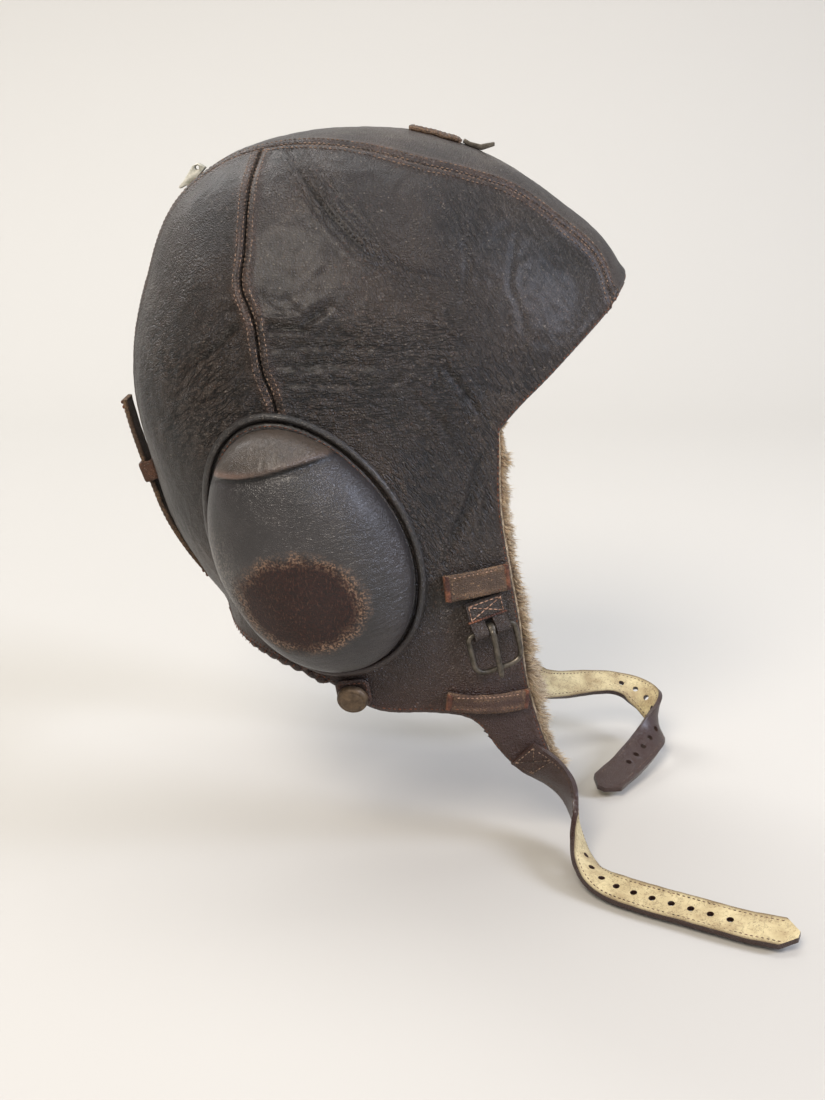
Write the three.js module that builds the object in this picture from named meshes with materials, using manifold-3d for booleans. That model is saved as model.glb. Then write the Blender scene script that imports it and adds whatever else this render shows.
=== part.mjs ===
// Flying helmet of dark brown leather over a pale fleece lining, with padded ear cups,
// a strap buckle on each cheek, chin straps and small fittings on the crown and back.
//
// Millimetres. +X is the wearer's front, +Z is up and -Y is the wearer's right.
// The origin is the crown seat, where the top of the head meets the lining.
import * as THREE from 'three';
import { mergeVertices } from 'three/addons/utils/BufferGeometryUtils.js';
import Module from 'manifold-3d';

const wasm = await Module();
wasm.setup();

// Driving dimensions
const EAR = { x: -22, z: -140 };   // middle of the ear, the centre that the form is measured from
const HALF_WIDTH = 84;             // outside of the leather at the ears, without the cups
const LEATHER = 2;                 // wall of the leather
const FLEECE = 7.7;                // wall of the lining, pile included
const GAP = 0.3;                   // clearance between touching pieces
const TOUCH = 0.5;                 // lift of a thin leather patch above the leather
const SEAT = 0.75;                 // clearance of a piece that lies on the curved leather
const FORM_AROUND = 36;            // facets round the form
const FORM_ACROSS = 16;            // facets from ear to ear
const CUP = { x: -25.8, z: -147.4, lean: -26.4, long: 57.3, wide: 40.4, taper: 0.083 };
const CUP_HEIGHT = 26;             // crown of the ear cup above the helmet's side
const CUP_FACETS = 24;
const CUP_RIM = 7.6;               // the cup's own edge lies this far inside the welt's
const WELT = 3.2;                  // thickness of the piped edge of the cup
const STRAP = { width: 15, thick: 2.4 };
const SNAP = { x: -9.5, z: -211.2, radius: 6.4 };
const BUCKLE = { x: 44.5, z: -183, yaw: 18, tilt: 14, width: 20.6, height: 17.4, wire: 2.2 };

// The form's side view: how far the midline lies from the ear at each angle (0 is
// forward, 90 is up), and how full the section is between the midline and the ear.
const FORM = [
  { angle: -58, reach: 180, full: 2.0 },
  { angle: -50, reach: 190, full: 2.0 },
  { angle: -40, reach: 162, full: 2.0 },
  { angle: -23, reach: 144, full: 2.0 },
  { angle: 10, reach: 136, full: 2.0 },
  { angle: 28, reach: 147, full: 2.0 },
  { angle: 35, reach: 154.5, full: 2.05 },
  { angle: 42, reach: 157.5, full: 2.1 },
  { angle: 50, reach: 156.5, full: 2.2 },
  { angle: 70, reach: 155, full: 2.35 },
  { angle: 100, reach: 147.7, full: 2.5 },
  { angle: 115, reach: 138.5, full: 2.4 },
  { angle: 130, reach: 116.8, full: 2.3 },
  { angle: 150, reach: 94.6, full: 2.2 },
  { angle: 170, reach: 76.6, full: 2.1 },
  { angle: 190, reach: 69, full: 2.1 },
  { angle: 212, reach: 65.8, full: 2.1 },
  { angle: 231, reach: 70.4, full: 2.1 },
  { angle: 262, reach: 115, full: 2.0 },
  { angle: 274, reach: 140, full: 2.0 },
  { angle: 288, reach: 160, full: 2.0 },
];

// Half width of the centre strip along the same angles
const STRIP = [
  { angle: 22, half: 34 },
  { angle: 35, half: 32 },
  { angle: 42, half: 27.5 },
  { angle: 50, half: 29.5 },
  { angle: 58, half: 31.5 },
  { angle: 66, half: 36.5 },
  { angle: 74, half: 39 },
  { angle: 85, half: 36 },
  { angle: 93, half: 31 },
  { angle: 100, half: 26 },
  { angle: 112, half: 22 },
  { angle: 130, half: 20 },
  { angle: 160, half: 18 },
  { angle: 240, half: 17 },
];

// Edge of the leather in the side view; pile is how far the fleece shows past it
const BROW = [
  { x: 128, z: -28, pile: -2 },
  { x: 103.3, z: -52, pile: -2 },
  { x: 95, z: -60, pile: -2 },
  { x: 80, z: -73, pile: -2 },
  { x: 67, z: -85, pile: -2 },
  { x: 57, z: -94, pile: -1 },
];
const CHEEK = [
  { x: 48.6, z: -103, pile: 2 },
  { x: 49.3, z: -131, pile: 4.5 },
  { x: 53, z: -156, pile: 5 },
  { x: 58, z: -182, pile: 5 },
  { x: 62, z: -210, pile: 4.5 },
  { x: 70, z: -237, pile: -2 },
  { x: 79, z: -259, pile: -4 },
];
const HEM = [
  { x: 65, z: -257, pile: -4 },
  { x: 57.5, z: -250.5, pile: -4 },
  { x: 50.5, z: -241, pile: -4 },
  { x: 44, z: -230, pile: -3 },
  { x: 36, z: -223.5, pile: -3 },
  { x: 22, z: -221.5, pile: -2 },
  { x: 0, z: -220.5, pile: -2 },
  { x: -18, z: -208.5, pile: -2 },
  { x: -34, z: -201, pile: -2 },
  { x: -55, z: -196, pile: -2 },
  { x: -68, z: -195, pile: -2 },
  { x: -130, z: -193, pile: -2 },
];

// Seam between the front and the rear panel, from the crown to the hem
const SIDE_SEAM = [
  { x: -46, z: 60 },
  { x: -46, z: 2 },
  { x: -49, z: -12 },
  { x: -50, z: -34 },
  { x: -51, z: -47 },
  { x: -46, z: -60 },
  { x: -43, z: -78 },
  { x: -37, z: -96 },
  { x: -30, z: -150 },
  { x: -26, z: -230 },
];

// Height of the ear cup over its radius: 1 is the rim and 0 the middle
const CUP_PROFILE = [
  { radius: 1, height: 1.5 },
  { radius: 0.99, height: 9 },
  { radius: 0.95, height: 15.5 },
  { radius: 0.84, height: 21.5 },
  { radius: 0.64, height: 24.7 },
  { radius: 0.32, height: 25.8 },
];

// Chin straps: the middle line, and the way the outer face looks
const STRAP_RIGHT = [
  { x: 61, y: -61.5, z: -244, nx: 0.1, ny: -1, nz: -0.35 },
  { x: 69, y: -57.1, z: -250.5, nx: 0, ny: -1, nz: -0.45 },
  { x: 77, y: -53.8, z: -258.5, nx: -0.5, ny: -0.85, nz: -0.4 },
  { x: 82.5, y: -54.8, z: -267, nx: -0.9, ny: -0.4, nz: -0.3 },
  { x: 84.7, y: -62.4, z: -275, nx: -1, ny: -0.1, nz: -0.3 },
  { x: 85.2, y: -75.6, z: -280, nx: -0.9, ny: 0.2, nz: -0.6 },
  { x: 87.5, y: -88.2, z: -283, nx: -0.5, ny: 0.3, nz: -0.9 },
  { x: 93.5, y: -98.8, z: -284.5, nx: -0.1, ny: 0.3, nz: -1 },
  { x: 105.3, y: -108.5, z: -284.5, nx: 0, ny: 0.3, nz: -1 },
  { x: 123.3, y: -119.5, z: -284.5, nx: 0, ny: 0.3, nz: -1 },
  { x: 140.7, y: -130.1, z: -284.5, nx: 0, ny: 0.3, nz: -1 },
  { x: 156.5, y: -138, z: -284, nx: 0, ny: 0.3, nz: -1 },
];
const STRAP_LEFT = [
  { x: 61, y: 61.5, z: -244, nx: 0.1, ny: 1, nz: -0.35 },
  { x: 69, y: 57.1, z: -250.5, nx: 0, ny: 1, nz: -0.45 },
  { x: 78, y: 56, z: -256.5, nx: -0.3, ny: 1, nz: -0.6 },
  { x: 89, y: 62, z: -260, nx: -0.3, ny: 0.7, nz: -0.9 },
  { x: 104.8, y: 68.8, z: -261.5, nx: -0.1, ny: 0.5, nz: -1 },
  { x: 117.4, y: 71.8, z: -263, nx: 0.1, ny: 0.4, nz: -1 },
  { x: 127, y: 70, z: -265.5, nx: 0.35, ny: 0.35, nz: -0.9 },
  { x: 133.5, y: 62.5, z: -268.5, nx: 0.75, ny: 0.15, nz: -0.75 },
  { x: 135.7, y: 53, z: -271.8, nx: 1, ny: -0.1, nz: -0.2 },
  { x: 134, y: 42, z: -275.3, nx: 0.8, ny: -0.35, nz: 0.6 },
  { x: 128.3, y: 31, z: -278.5, nx: 0.4, ny: -0.35, nz: 1 },
  { x: 117.2, y: 13.5, z: -281.8, nx: 0.15, ny: -0.25, nz: 1 },
  { x: 104.8, y: -3.8, z: -284, nx: 0.1, ny: -0.2, nz: 1 },
];

// Strap loop down the back of the head, standing a little off the shell
const REAR_LOOP = [
  { angle: 156.5, off: 7.6 },
  { angle: 163, off: 6.7 },
  { angle: 171, off: 5.9 },
  { angle: 179, off: 4.9 },
  { angle: 191, off: 4.1 },
  { angle: 205, off: 3 },
  { angle: 213, off: 1.9 },
  { angle: 218, off: 1.65 },
];
const LOOP_SIDE = -2;              // the loop runs a little to the right of the middle

// Colours and finishes
const material = (color, roughness, metalness = 0) =>
  new THREE.MeshStandardMaterial({ color, roughness, metalness });
const leather = material('#3b322e', 0.55);
const wornLeather = material('#4a342b', 0.7);
const cupLeather = material('#3a3839', 0.4);
const fleece = material('#c9b597', 0.95);
const strapLeather = material('#cdb98a', 0.75);
const darkSteel = material('#4a453e', 0.45, 0.8);
const paleMetal = material('#c9c8bb', 0.45, 0.6);

const toDegrees = THREE.MathUtils.radToDeg;
const toRadians = THREE.MathUtils.degToRad;

// Smooth value between the rows of a table; a closed table goes on round the circle.
function between(rows, key, angle, closed = true) {
  const first = rows[0].angle;
  const count = rows.length;
  const at = closed ? first + THREE.MathUtils.euclideanModulo(angle - first, 360) : angle;
  const row = (i) => {
    if (!closed) return rows[THREE.MathUtils.clamp(i, 0, count - 1)];
    const source = rows[THREE.MathUtils.euclideanModulo(i, count)];
    return { ...source, angle: source.angle + 360 * Math.floor(i / count) };
  };
  let k = 0;
  while (k < count - 1 && rows[k + 1].angle <= at) k += 1;
  if (!closed) k = Math.min(k, count - 2);
  const [a, b, c, d] = [row(k - 1), row(k), row(k + 1), row(k + 2)];
  const span = c.angle - b.angle;
  const t = THREE.MathUtils.clamp((at - b.angle) / span, 0, 1);
  const slopeB = ((c[key] - a[key]) / (c.angle - a.angle)) * span;
  const slopeC = ((d[key] - b[key]) / (d.angle - b.angle)) * span;
  const t2 = t * t;
  const t3 = t2 * t;
  return (2 * t3 - 3 * t2 + 1) * b[key] + (t3 - 2 * t2 + t) * slopeB
    + (3 * t2 - 2 * t3) * c[key] + (t3 - t2) * slopeC;
}

// Distance of the form's side from the middle plane at x, z, raised by lift.
function sideAt(x, z, lift = 0) {
  const angle = toDegrees(Math.atan2(z - EAR.z, x - EAR.x));
  const full = between(FORM, 'full', angle);
  const share = Math.hypot(x - EAR.x, z - EAR.z) / (between(FORM, 'reach', angle) + lift);
  return (HALF_WIDTH + lift) * Math.max(0, 1 - share ** full) ** (1 / full);
}

// Point of the form at an angle round the ear and a distance y from the middle plane.
function topAt(angle, y, lift = 0) {
  const full = between(FORM, 'full', angle);
  const share = (1 - Math.min(1, Math.abs(y) / (HALF_WIDTH + lift)) ** full) ** (1 / full);
  const radius = (between(FORM, 'reach', angle) + lift) * share;
  return new THREE.Vector3(
    EAR.x + radius * Math.cos(toRadians(angle)), y, EAR.z + radius * Math.sin(toRadians(angle)));
}

// Moves every vertex of a geometry with a function of its position.
function reshape(geometry, move) {
  const position = geometry.attributes.position;
  const point = new THREE.Vector3();
  for (let i = 0; i < position.count; i += 1) {
    const moved = move(point.fromBufferAttribute(position, i));
    position.setXYZ(i, moved.x, moved.y, moved.z);
  }
  return geometry;
}

function toSolid(geometry) {
  const plain = geometry.clone();
  for (const name of Object.keys(plain.attributes)) {
    if (name !== 'position') plain.deleteAttribute(name);
  }
  const merged = mergeVertices(plain, 1e-4);
  return new wasm.Manifold(new wasm.Mesh({
    numProp: 3,
    vertProperties: new Float32Array(merged.attributes.position.array),
    triVerts: new Uint32Array(merged.index.array),
  }));
}

function toGeometry(solid) {
  const mesh = solid.getMesh();
  const geometry = new THREE.BufferGeometry();
  geometry.setAttribute('position', new THREE.BufferAttribute(mesh.vertProperties, mesh.numProp));
  geometry.setIndex(new THREE.BufferAttribute(mesh.triVerts, 1));
  return geometry;
}

// The closed form of the helmet, inset from its outside.
function formBody(inset) {
  const body = new THREE.SphereGeometry(1, FORM_AROUND, FORM_ACROSS);
  return toSolid(reshape(body, ({ x, y, z }) => {
    const angle = toDegrees(Math.atan2(z, x));
    const full = between(FORM, 'full', angle);
    const share = Math.min(1, Math.hypot(x, z)) ** (2 / full);
    const radius = (between(FORM, 'reach', angle) - inset) * share;
    return {
      x: EAR.x + radius * Math.cos(toRadians(angle)),
      y: Math.sign(y) * (HALF_WIDTH - inset) * Math.abs(y) ** (2 / full),
      z: EAR.z + radius * Math.sin(toRadians(angle)),
    };
  }));
}

// A prism across the helmet from an outline in the side view, between two values of y.
function prism(shape, low, high) {
  const geometry = new THREE.ExtrudeGeometry(shape, {
    depth: high - low, bevelEnabled: false, curveSegments: 2,
  });
  geometry.rotateX(Math.PI / 2);
  geometry.translate(0, high, 0);
  return toSolid(geometry);
}

// Outline of the whole helmet in the side view, moved out by each row's share of pile.
function sideOutline(share) {
  const rows = [...BROW, ...CHEEK, ...HEM];
  const moved = rows.map((row, i) => {
    const before = rows[Math.max(0, i - 1)];
    const after = rows[Math.min(rows.length - 1, i + 1)];
    const along = new THREE.Vector2(after.x - before.x, after.z - before.z).normalize();
    return new THREE.Vector2(row.x - along.y * row.pile * share, row.z + along.x * row.pile * share);
  });
  const cheekStart = BROW.length;
  const hemStart = BROW.length + CHEEK.length;
  const outline = new THREE.Shape();
  outline.moveTo(moved[0].x, moved[0].y);
  outline.splineThru(moved.slice(1, cheekStart + 1));
  outline.splineThru(moved.slice(cheekStart + 1, hemStart));
  outline.lineTo(moved[hemStart].x, moved[hemStart].y);
  outline.splineThru(moved.slice(hemStart + 1));
  outline.lineTo(-130, 40);
  outline.lineTo(128, 40);
  return outline;
}

// Centre strip as a wedge round the ear, grown by clearance.
function stripWedge(clearance) {
  const low = 20;
  const inner = 60;
  const outer = 185;
  const steps = 27;
  const box = new THREE.BoxGeometry(1, 1, 1, steps, 1, 1);
  return toSolid(reshape(box, ({ x, y, z }) => {
    const angle = THREE.MathUtils.lerp(244, low, x + 0.5);
    const half = between(STRIP, 'half', angle, false) + clearance;
    const radius = z > 0 ? outer : inner;
    return {
      x: EAR.x + radius * Math.cos(toRadians(angle)),
      y: 2 * y * half,
      z: EAR.z + radius * Math.sin(toRadians(angle)),
    };
  }));
}

function seamPrism(shift, low, high) {
  const shape = new THREE.Shape(SIDE_SEAM.map(({ x, z }) => new THREE.Vector2(x + shift, z)));
  shape.lineTo(-26 + shift, -320);
  shape.lineTo(220, -320);
  shape.lineTo(220, 60);
  return prism(shape, low, high);
}

// Egg-shaped outline of the ear cup: a direction in degrees and a distance inside the rim.
function cupPoint(direction, inside, share = 1) {
  const along = Math.sin(toRadians(direction));
  const wide = (CUP.wide - inside) * (1 - CUP.taper * along * share);
  const lean = toRadians(CUP.lean);
  const p = (CUP.long - inside) * along * share;
  const q = wide * Math.cos(toRadians(direction)) * share;
  return {
    x: CUP.x + p * Math.sin(lean) + q * Math.cos(lean),
    z: CUP.z + p * Math.cos(lean) - q * Math.sin(lean),
  };
}

// A ring or cap over the ear: a lathe profile of rows { share, inside, height } that
// follows the egg outline and the curve of the helmet's right side.
function cupPiece(rows) {
  const profile = rows.map((row, i) => new THREE.Vector2(row.share === 0 ? 0 : 1 + i, i));
  const lathe = new THREE.LatheGeometry(profile, CUP_FACETS);
  return reshape(lathe, ({ x, y, z }) => {
    const row = rows[Math.round(y)];
    const spot = cupPoint(toDegrees(Math.atan2(x, z)), row.inside, row.share);
    return { x: spot.x, y: -sideAt(spot.x, spot.z, row.height), z: spot.z };
  });
}

function cupRing(inside, outside, low, high) {
  const rows = [
    { share: 1, inside, height: low },
    { share: 1, inside: outside, height: low },
    { share: 1, inside: outside, height: high },
    { share: 1, inside, height: high },
    { share: 1, inside, height: low },
  ];
  return cupPiece(rows);
}

function cupWelt() {
  const torus = new THREE.TorusGeometry(10, 1, 6, CUP_FACETS);
  return reshape(torus, ({ x, y, z }) => {
    const across = Math.hypot(x, y) - 10;
    const inside = WELT / 2 - (across * WELT) / 2;
    const spot = cupPoint(toDegrees(Math.atan2(y, x)), inside);
    return { x: spot.x, y: -sideAt(spot.x, spot.z, SEAT + (WELT / 2) * (1 + z)), z: spot.z };
  });
}

function cupDome() {
  const floor = [0, 0.35, 0.7, 1].map((radius) => ({ radius, height: SEAT }));
  const top = { radius: 0, height: CUP_HEIGHT };
  const rows = [...floor, ...CUP_PROFILE, top].map(
    ({ radius, height }) => ({ share: radius, inside: CUP_RIM, height }));
  return cupPiece(rows);
}

// A flat leather piece sewn on the right side: box facets that follow the surface.
function sidePatch({ x, z, width, height, tilt, lift, thick, across = 6, down = 2 }) {
  const box = new THREE.BoxGeometry(width, height, thick, across, down, 1);
  const turn = toRadians(tilt);
  return reshape(box, (p) => {
    const px = x + p.x * Math.cos(turn) - p.y * Math.sin(turn);
    const pz = z + p.x * Math.sin(turn) + p.y * Math.cos(turn);
    return { x: px, y: -sideAt(px, pz, lift + thick / 2 + p.z), z: pz };
  });
}

// A leather piece on the centre strip between two angles round the ear.
function crownPatch({ from, to, half, lift, thick, steps }) {
  const box = new THREE.BoxGeometry(1, 1, 1, steps, 2, 1);
  return reshape(box, (p) => {
    const angle = THREE.MathUtils.lerp(from, to, p.x + 0.5);
    return topAt(angle, 2 * p.y * half, lift + (p.z + 0.5) * thick);
  });
}

// A strap of even width along the rows of a table, with a pointed end.
function ribbon(rows, { width, thick }, steps, point = 0) {
  const curveOf = (keys) => new THREE.CatmullRomCurve3(
    rows.map((row) => new THREE.Vector3(...keys.map((key) => row[key]))), false, 'centripetal');
  const line = curveOf(['x', 'y', 'z']);
  const facing = curveOf(['nx', 'ny', 'nz']);
  const box = new THREE.BoxGeometry(1, 1, 1, steps, 2, 1);
  return reshape(box, (p) => {
    const t = p.x + 0.5;
    const tangent = line.getTangent(t);
    const normal = facing.getPoint(t);
    normal.addScaledVector(tangent, -normal.dot(tangent)).normalize();
    const side = new THREE.Vector3().crossVectors(normal, tangent);
    const spot = line.getPoint(t);
    if (t > 0.999) spot.addScaledVector(tangent, p.y === 0 ? point : 0);
    return spot.addScaledVector(side, p.y * width).addScaledVector(normal, p.z * thick);
  });
}

// A wire ring of round section: straight with tight corners at the bar, rounder below.
function wireRing(width, height, wire) {
  const torus = new THREE.TorusGeometry(10, 1, 6, 24);
  return reshape(torus, ({ x, y, z }) => {
    const corner = y > 0 ? 9 : 4;
    const across = (Math.hypot(x, y) - 10) * (wire / 2);
    const angle = Math.atan2(y, x);
    const power = (value) => Math.sign(value) * Math.abs(value) ** (2 / corner);
    const px = (width / 2) * power(Math.cos(angle));
    const py = (height / 2) * power(Math.sin(angle));
    const nx = Math.sign(px) * Math.abs((2 * px) / width) ** (corner - 1) / width;
    const ny = Math.sign(py) * Math.abs((2 * py) / height) ** (corner - 1) / height;
    const size = Math.hypot(nx, ny);
    return { x: px + (nx / size) * across, y: py + (ny / size) * across, z: z * (wire / 2) };
  });
}

function tube(points, radius, steps) {
  const ring = new THREE.Shape();
  ring.absarc(0, 0, radius, 0, 2 * Math.PI, false);
  return new THREE.ExtrudeGeometry(ring, {
    extrudePath: new THREE.CatmullRomCurve3(points), steps, curveSegments: 4, bevelEnabled: false,
  });
}

// Extrudes an outline of the section (up the strap, out from the cheek) along the bar.
function alongBar(shape, width) {
  const geometry = new THREE.ExtrudeGeometry(shape, {
    depth: width, bevelEnabled: false, curveSegments: 5,
  });
  // The outline's x turns to the group's y and its y to the group's z.
  geometry.applyMatrix4(new THREE.Matrix4().makeBasis(
    new THREE.Vector3(0, 1, 0), new THREE.Vector3(0, 0, 1), new THREE.Vector3(1, 0, 0)));
  return geometry.translate(-width / 2, 0, 0);
}

const barRadius = BUCKLE.wire / 2;
const wrapInner = barRadius + 0.4;
const wrapOuter = wrapInner + 1.4;
const barHeight = wrapOuter + SEAT + 0.7;   // bar's middle above the cheek

// Short strap folded round the buckle's bar, with a slot for the tongue.
function buckleStrap() {
  const reachUp = 12.5;
  const width = 16;
  const slot = 4.2;
  const section = new THREE.Shape();
  section.moveTo(reachUp, -wrapOuter);
  section.lineTo(reachUp, -wrapOuter + STRAP.thick);
  section.lineTo(2.6, -wrapOuter + STRAP.thick);
  section.absarc(0, 0, wrapOuter, 0.35, 1.5 * Math.PI, false);
  const hole = new THREE.Path();
  hole.absarc(0, 0, wrapInner, 0, 2 * Math.PI, true);
  section.holes.push(hole);
  const slotBox = new THREE.BoxGeometry(slot, 2 * wrapOuter + 1, 20);
  slotBox.translate(0, 0.25, 0);
  return toGeometry(toSolid(alongBar(section, width)).subtract(toSolid(slotBox)));
}

// Tongue: an eye round the bar and a pin that rests on the frame's far side.
function buckleTongue() {
  const eyeInner = barRadius + 0.35;
  const eyeOuter = eyeInner + 1.2;
  const eye = new THREE.Shape();
  eye.absarc(0, 0, eyeOuter, 0, 2 * Math.PI, false);
  const hole = new THREE.Path();
  hole.absarc(0, 0, eyeInner, 0, 2 * Math.PI, true);
  eye.holes.push(hole);
  const pinRadius = 1.05;
  const rest = barRadius + pinRadius + 0.35;
  const pin = tube([
    new THREE.Vector3(0, 0.6, eyeOuter - 0.7),
    new THREE.Vector3(0, -4, eyeOuter - 0.4),
    new THREE.Vector3(0, -12, rest),
    new THREE.Vector3(0, -BUCKLE.height, rest),
    new THREE.Vector3(0, -BUCKLE.height - 3.6, rest - 0.2),
  ], pinRadius, 8);
  const bore = new THREE.CylinderGeometry(eyeInner, eyeInner, 6, 20).rotateZ(Math.PI / 2);
  return toGeometry(toSolid(alongBar(eye, 3)).add(toSolid(pin)).subtract(toSolid(bore)));
}

function buckleGroup() {
  const group = new THREE.Group();
  const yaw = toRadians(BUCKLE.yaw);
  const tilt = toRadians(BUCKLE.tilt);
  const out = new THREE.Vector3(Math.sin(yaw), -Math.cos(yaw), 0);
  const level = new THREE.Vector3(Math.cos(yaw), Math.sin(yaw), 0);
  const upright = new THREE.Vector3(0, 0, 1);
  const bar = level.clone().multiplyScalar(Math.cos(tilt)).addScaledVector(upright, Math.sin(tilt));
  const up = upright.clone().multiplyScalar(Math.cos(tilt)).addScaledVector(level, -Math.sin(tilt));
  const foot = new THREE.Vector3(BUCKLE.x, -sideAt(BUCKLE.x, BUCKLE.z), BUCKLE.z);
  foot.addScaledVector(out, barHeight);
  group.matrix.makeBasis(bar, up, out).setPosition(foot);
  group.matrix.decompose(group.position, group.quaternion, group.scale);
  const frame = wireRing(BUCKLE.width, BUCKLE.height, BUCKLE.wire);
  frame.translate(0, -BUCKLE.height / 2, 0);
  group.add(piece('buckle_strap', buckleStrap(), wornLeather));
  group.add(piece('buckle_frame', frame, darkSteel));
  group.add(piece('buckle_tongue', buckleTongue(), darkSteel));
  return group;
}

// Domed press-stud cap that looks out from the snap tab.
function snapCap() {
  const { radius } = SNAP;
  const profile = [[0, 0], [radius - 0.8, 0], [radius, 0.8], [radius - 0.3, 2.2], [radius - 1.6, 3.3],
    [radius / 2, 3.8], [0, 3.9]].map(([across, high]) => new THREE.Vector2(across, high));
  const cap = new THREE.LatheGeometry(profile, 20);
  const step = 4;
  const dx = (sideAt(SNAP.x + step, SNAP.z) - sideAt(SNAP.x - step, SNAP.z)) / (2 * step);
  const dz = (sideAt(SNAP.x, SNAP.z + step) - sideAt(SNAP.x, SNAP.z - step)) / (2 * step);
  const out = new THREE.Vector3(-dx, -1, -dz).normalize();
  const turn = new THREE.Quaternion().setFromUnitVectors(new THREE.Vector3(0, 1, 0), out);
  cap.applyQuaternion(turn);
  const foot = new THREE.Vector3(SNAP.x, -sideAt(SNAP.x, SNAP.z), SNAP.z);
  foot.addScaledVector(out, TOUCH + LEATHER + 0.45);
  return cap.translate(foot.x, foot.y, foot.z);
}

function piece(name, geometry, finish) {
  const mesh = new THREE.Mesh(geometry, finish);
  mesh.name = name;
  return mesh;
}

// Pieces that are the same on both sides, without the side in their names.
function sidePieces() {
  const group = new THREE.Group();
  const ringOuter = WELT + 0.7;
  group.add(piece('ear_welt', cupWelt(), cupLeather));
  group.add(piece('ear_ring', cupRing(CUP_RIM - 0.4, ringOuter, SEAT, SEAT + 2.6), cupLeather));
  group.add(piece('ear_cup', cupDome(), cupLeather));
  group.add(piece('upper_keeper', sidePatch({
    x: 40.2, z: -163.5, width: 27, height: 11.5, tilt: 7, lift: SEAT, thick: 2.2,
  }), wornLeather));
  group.add(piece('lower_keeper', sidePatch({
    x: 45.5, z: -216, width: 35, height: 8.5, tilt: -5, lift: SEAT, thick: 2,
  }), wornLeather));
  group.add(piece('snap_tab', sidePatch({
    x: SNAP.x, z: SNAP.z + 0.4, width: 14, height: 13, tilt: 8, lift: TOUCH, thick: LEATHER,
    across: 4, down: 4,
  }), leather));
  group.add(piece('snap_cap', snapCap(), darkSteel));
  group.add(buckleGroup());
  return group;
}

function rename(group, side) {
  group.traverse((child) => {
    if (child.isMesh) child.name = `${child.name}_${side}`;
  });
  return group;
}

// Leather panels and lining
const helmet = new THREE.Group();
const tall = 120;
const shell = formBody(0).subtract(formBody(LEATHER)).intersect(prism(sideOutline(0), -tall, tall));
const lining = formBody(LEATHER + GAP).subtract(formBody(LEATHER + GAP + FLEECE))
  .intersect(prism(sideOutline(1), -tall, tall));
const crownStrip = shell.intersect(stripWedge(0));
const sides = shell.subtract(stripWedge(GAP));
helmet.add(piece('crown_strip', toGeometry(crownStrip), leather));
helmet.add(piece('lining', toGeometry(lining), fleece));
for (const [side, low, high] of [['right', -tall, -1], ['left', 1, tall]]) {
  const front = sides.intersect(seamPrism(GAP / 2, low, high));
  const half = sides.intersect(prism(new THREE.Shape([
    new THREE.Vector2(-200, -320), new THREE.Vector2(220, -320),
    new THREE.Vector2(220, 60), new THREE.Vector2(-200, 60)]), low, high));
  const rear = half.subtract(seamPrism(-GAP / 2, low - 1, high + 1));
  helmet.add(piece(`front_panel_${side}`, toGeometry(front), leather));
  helmet.add(piece(`rear_panel_${side}`, toGeometry(rear), leather));
}

// Ear cups, keepers, buckles and snap tabs
const left = rename(sidePieces(), 'left');
left.scale.y = -1;
helmet.add(rename(sidePieces(), 'right'));
helmet.add(left);

// Chin straps
helmet.add(piece('strap_right', ribbon(STRAP_RIGHT, STRAP, 26, 5), strapLeather));
helmet.add(piece('strap_left', ribbon(STRAP_LEFT, STRAP, 26, 5), strapLeather));

// Tab and hook on the front of the crown
const crownTab = { from: 77, to: 68.6, half: 8, lift: TOUCH, thick: 1.8, steps: 4 };
helmet.add(piece('crown_tab', crownPatch(crownTab), wornLeather));
const hookShape = new THREE.Shape([[-0.6, 0.9], [2, 0.6], [6.5, 1.4], [11.2, 4.6], [11.9, 3.2],
  [7.6, -0.7], [2.2, -1.2], [-0.6, -1]].map(([a, b]) => new THREE.Vector2(a, b)));
const hook = new THREE.ExtrudeGeometry(hookShape, { depth: 9, bevelEnabled: false });
hook.rotateX(Math.PI / 2).translate(0, 4.5, 0);
const hookMesh = piece('crown_hook', hook, darkSteel);
const hookSeat = topAt(crownTab.to, 0, crownTab.lift + crownTab.thick / 2);
hookMesh.position.set(hookSeat.x + 1.1, 0, hookSeat.z - 0.2);
hookMesh.rotation.y = toRadians(24);
helmet.add(hookMesh);

// Lug with a round hole at the back of the crown
const lugShape = new THREE.Shape([[-4.8, 0], [-5.6, 1.6], [-8.4, 2.6], [-8.2, 3.6], [-4.6, 3.6],
  [2.4, 4.6], [4.8, 3.4], [5.4, 0]].map(([a, b]) => new THREE.Vector2(a, b)));
const lugHole = new THREE.Path();
lugHole.absarc(2.9, 2.7, 0.9, 0, 2 * Math.PI, false);
lugShape.holes.push(lugHole);
const lug = new THREE.ExtrudeGeometry(lugShape, { depth: 5, bevelEnabled: false, curveSegments: 5 });
lug.rotateX(Math.PI / 2).translate(0, 2.5, 0);
const lugMesh = piece('rear_lug', lug, paleMetal);
const lugSide = -3;
const lugSeat = topAt(112, lugSide, -0.35);
lugMesh.position.set(lugSeat.x, lugSide, lugSeat.z);
lugMesh.rotation.y = toRadians(-49);
helmet.add(lugMesh);

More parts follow.
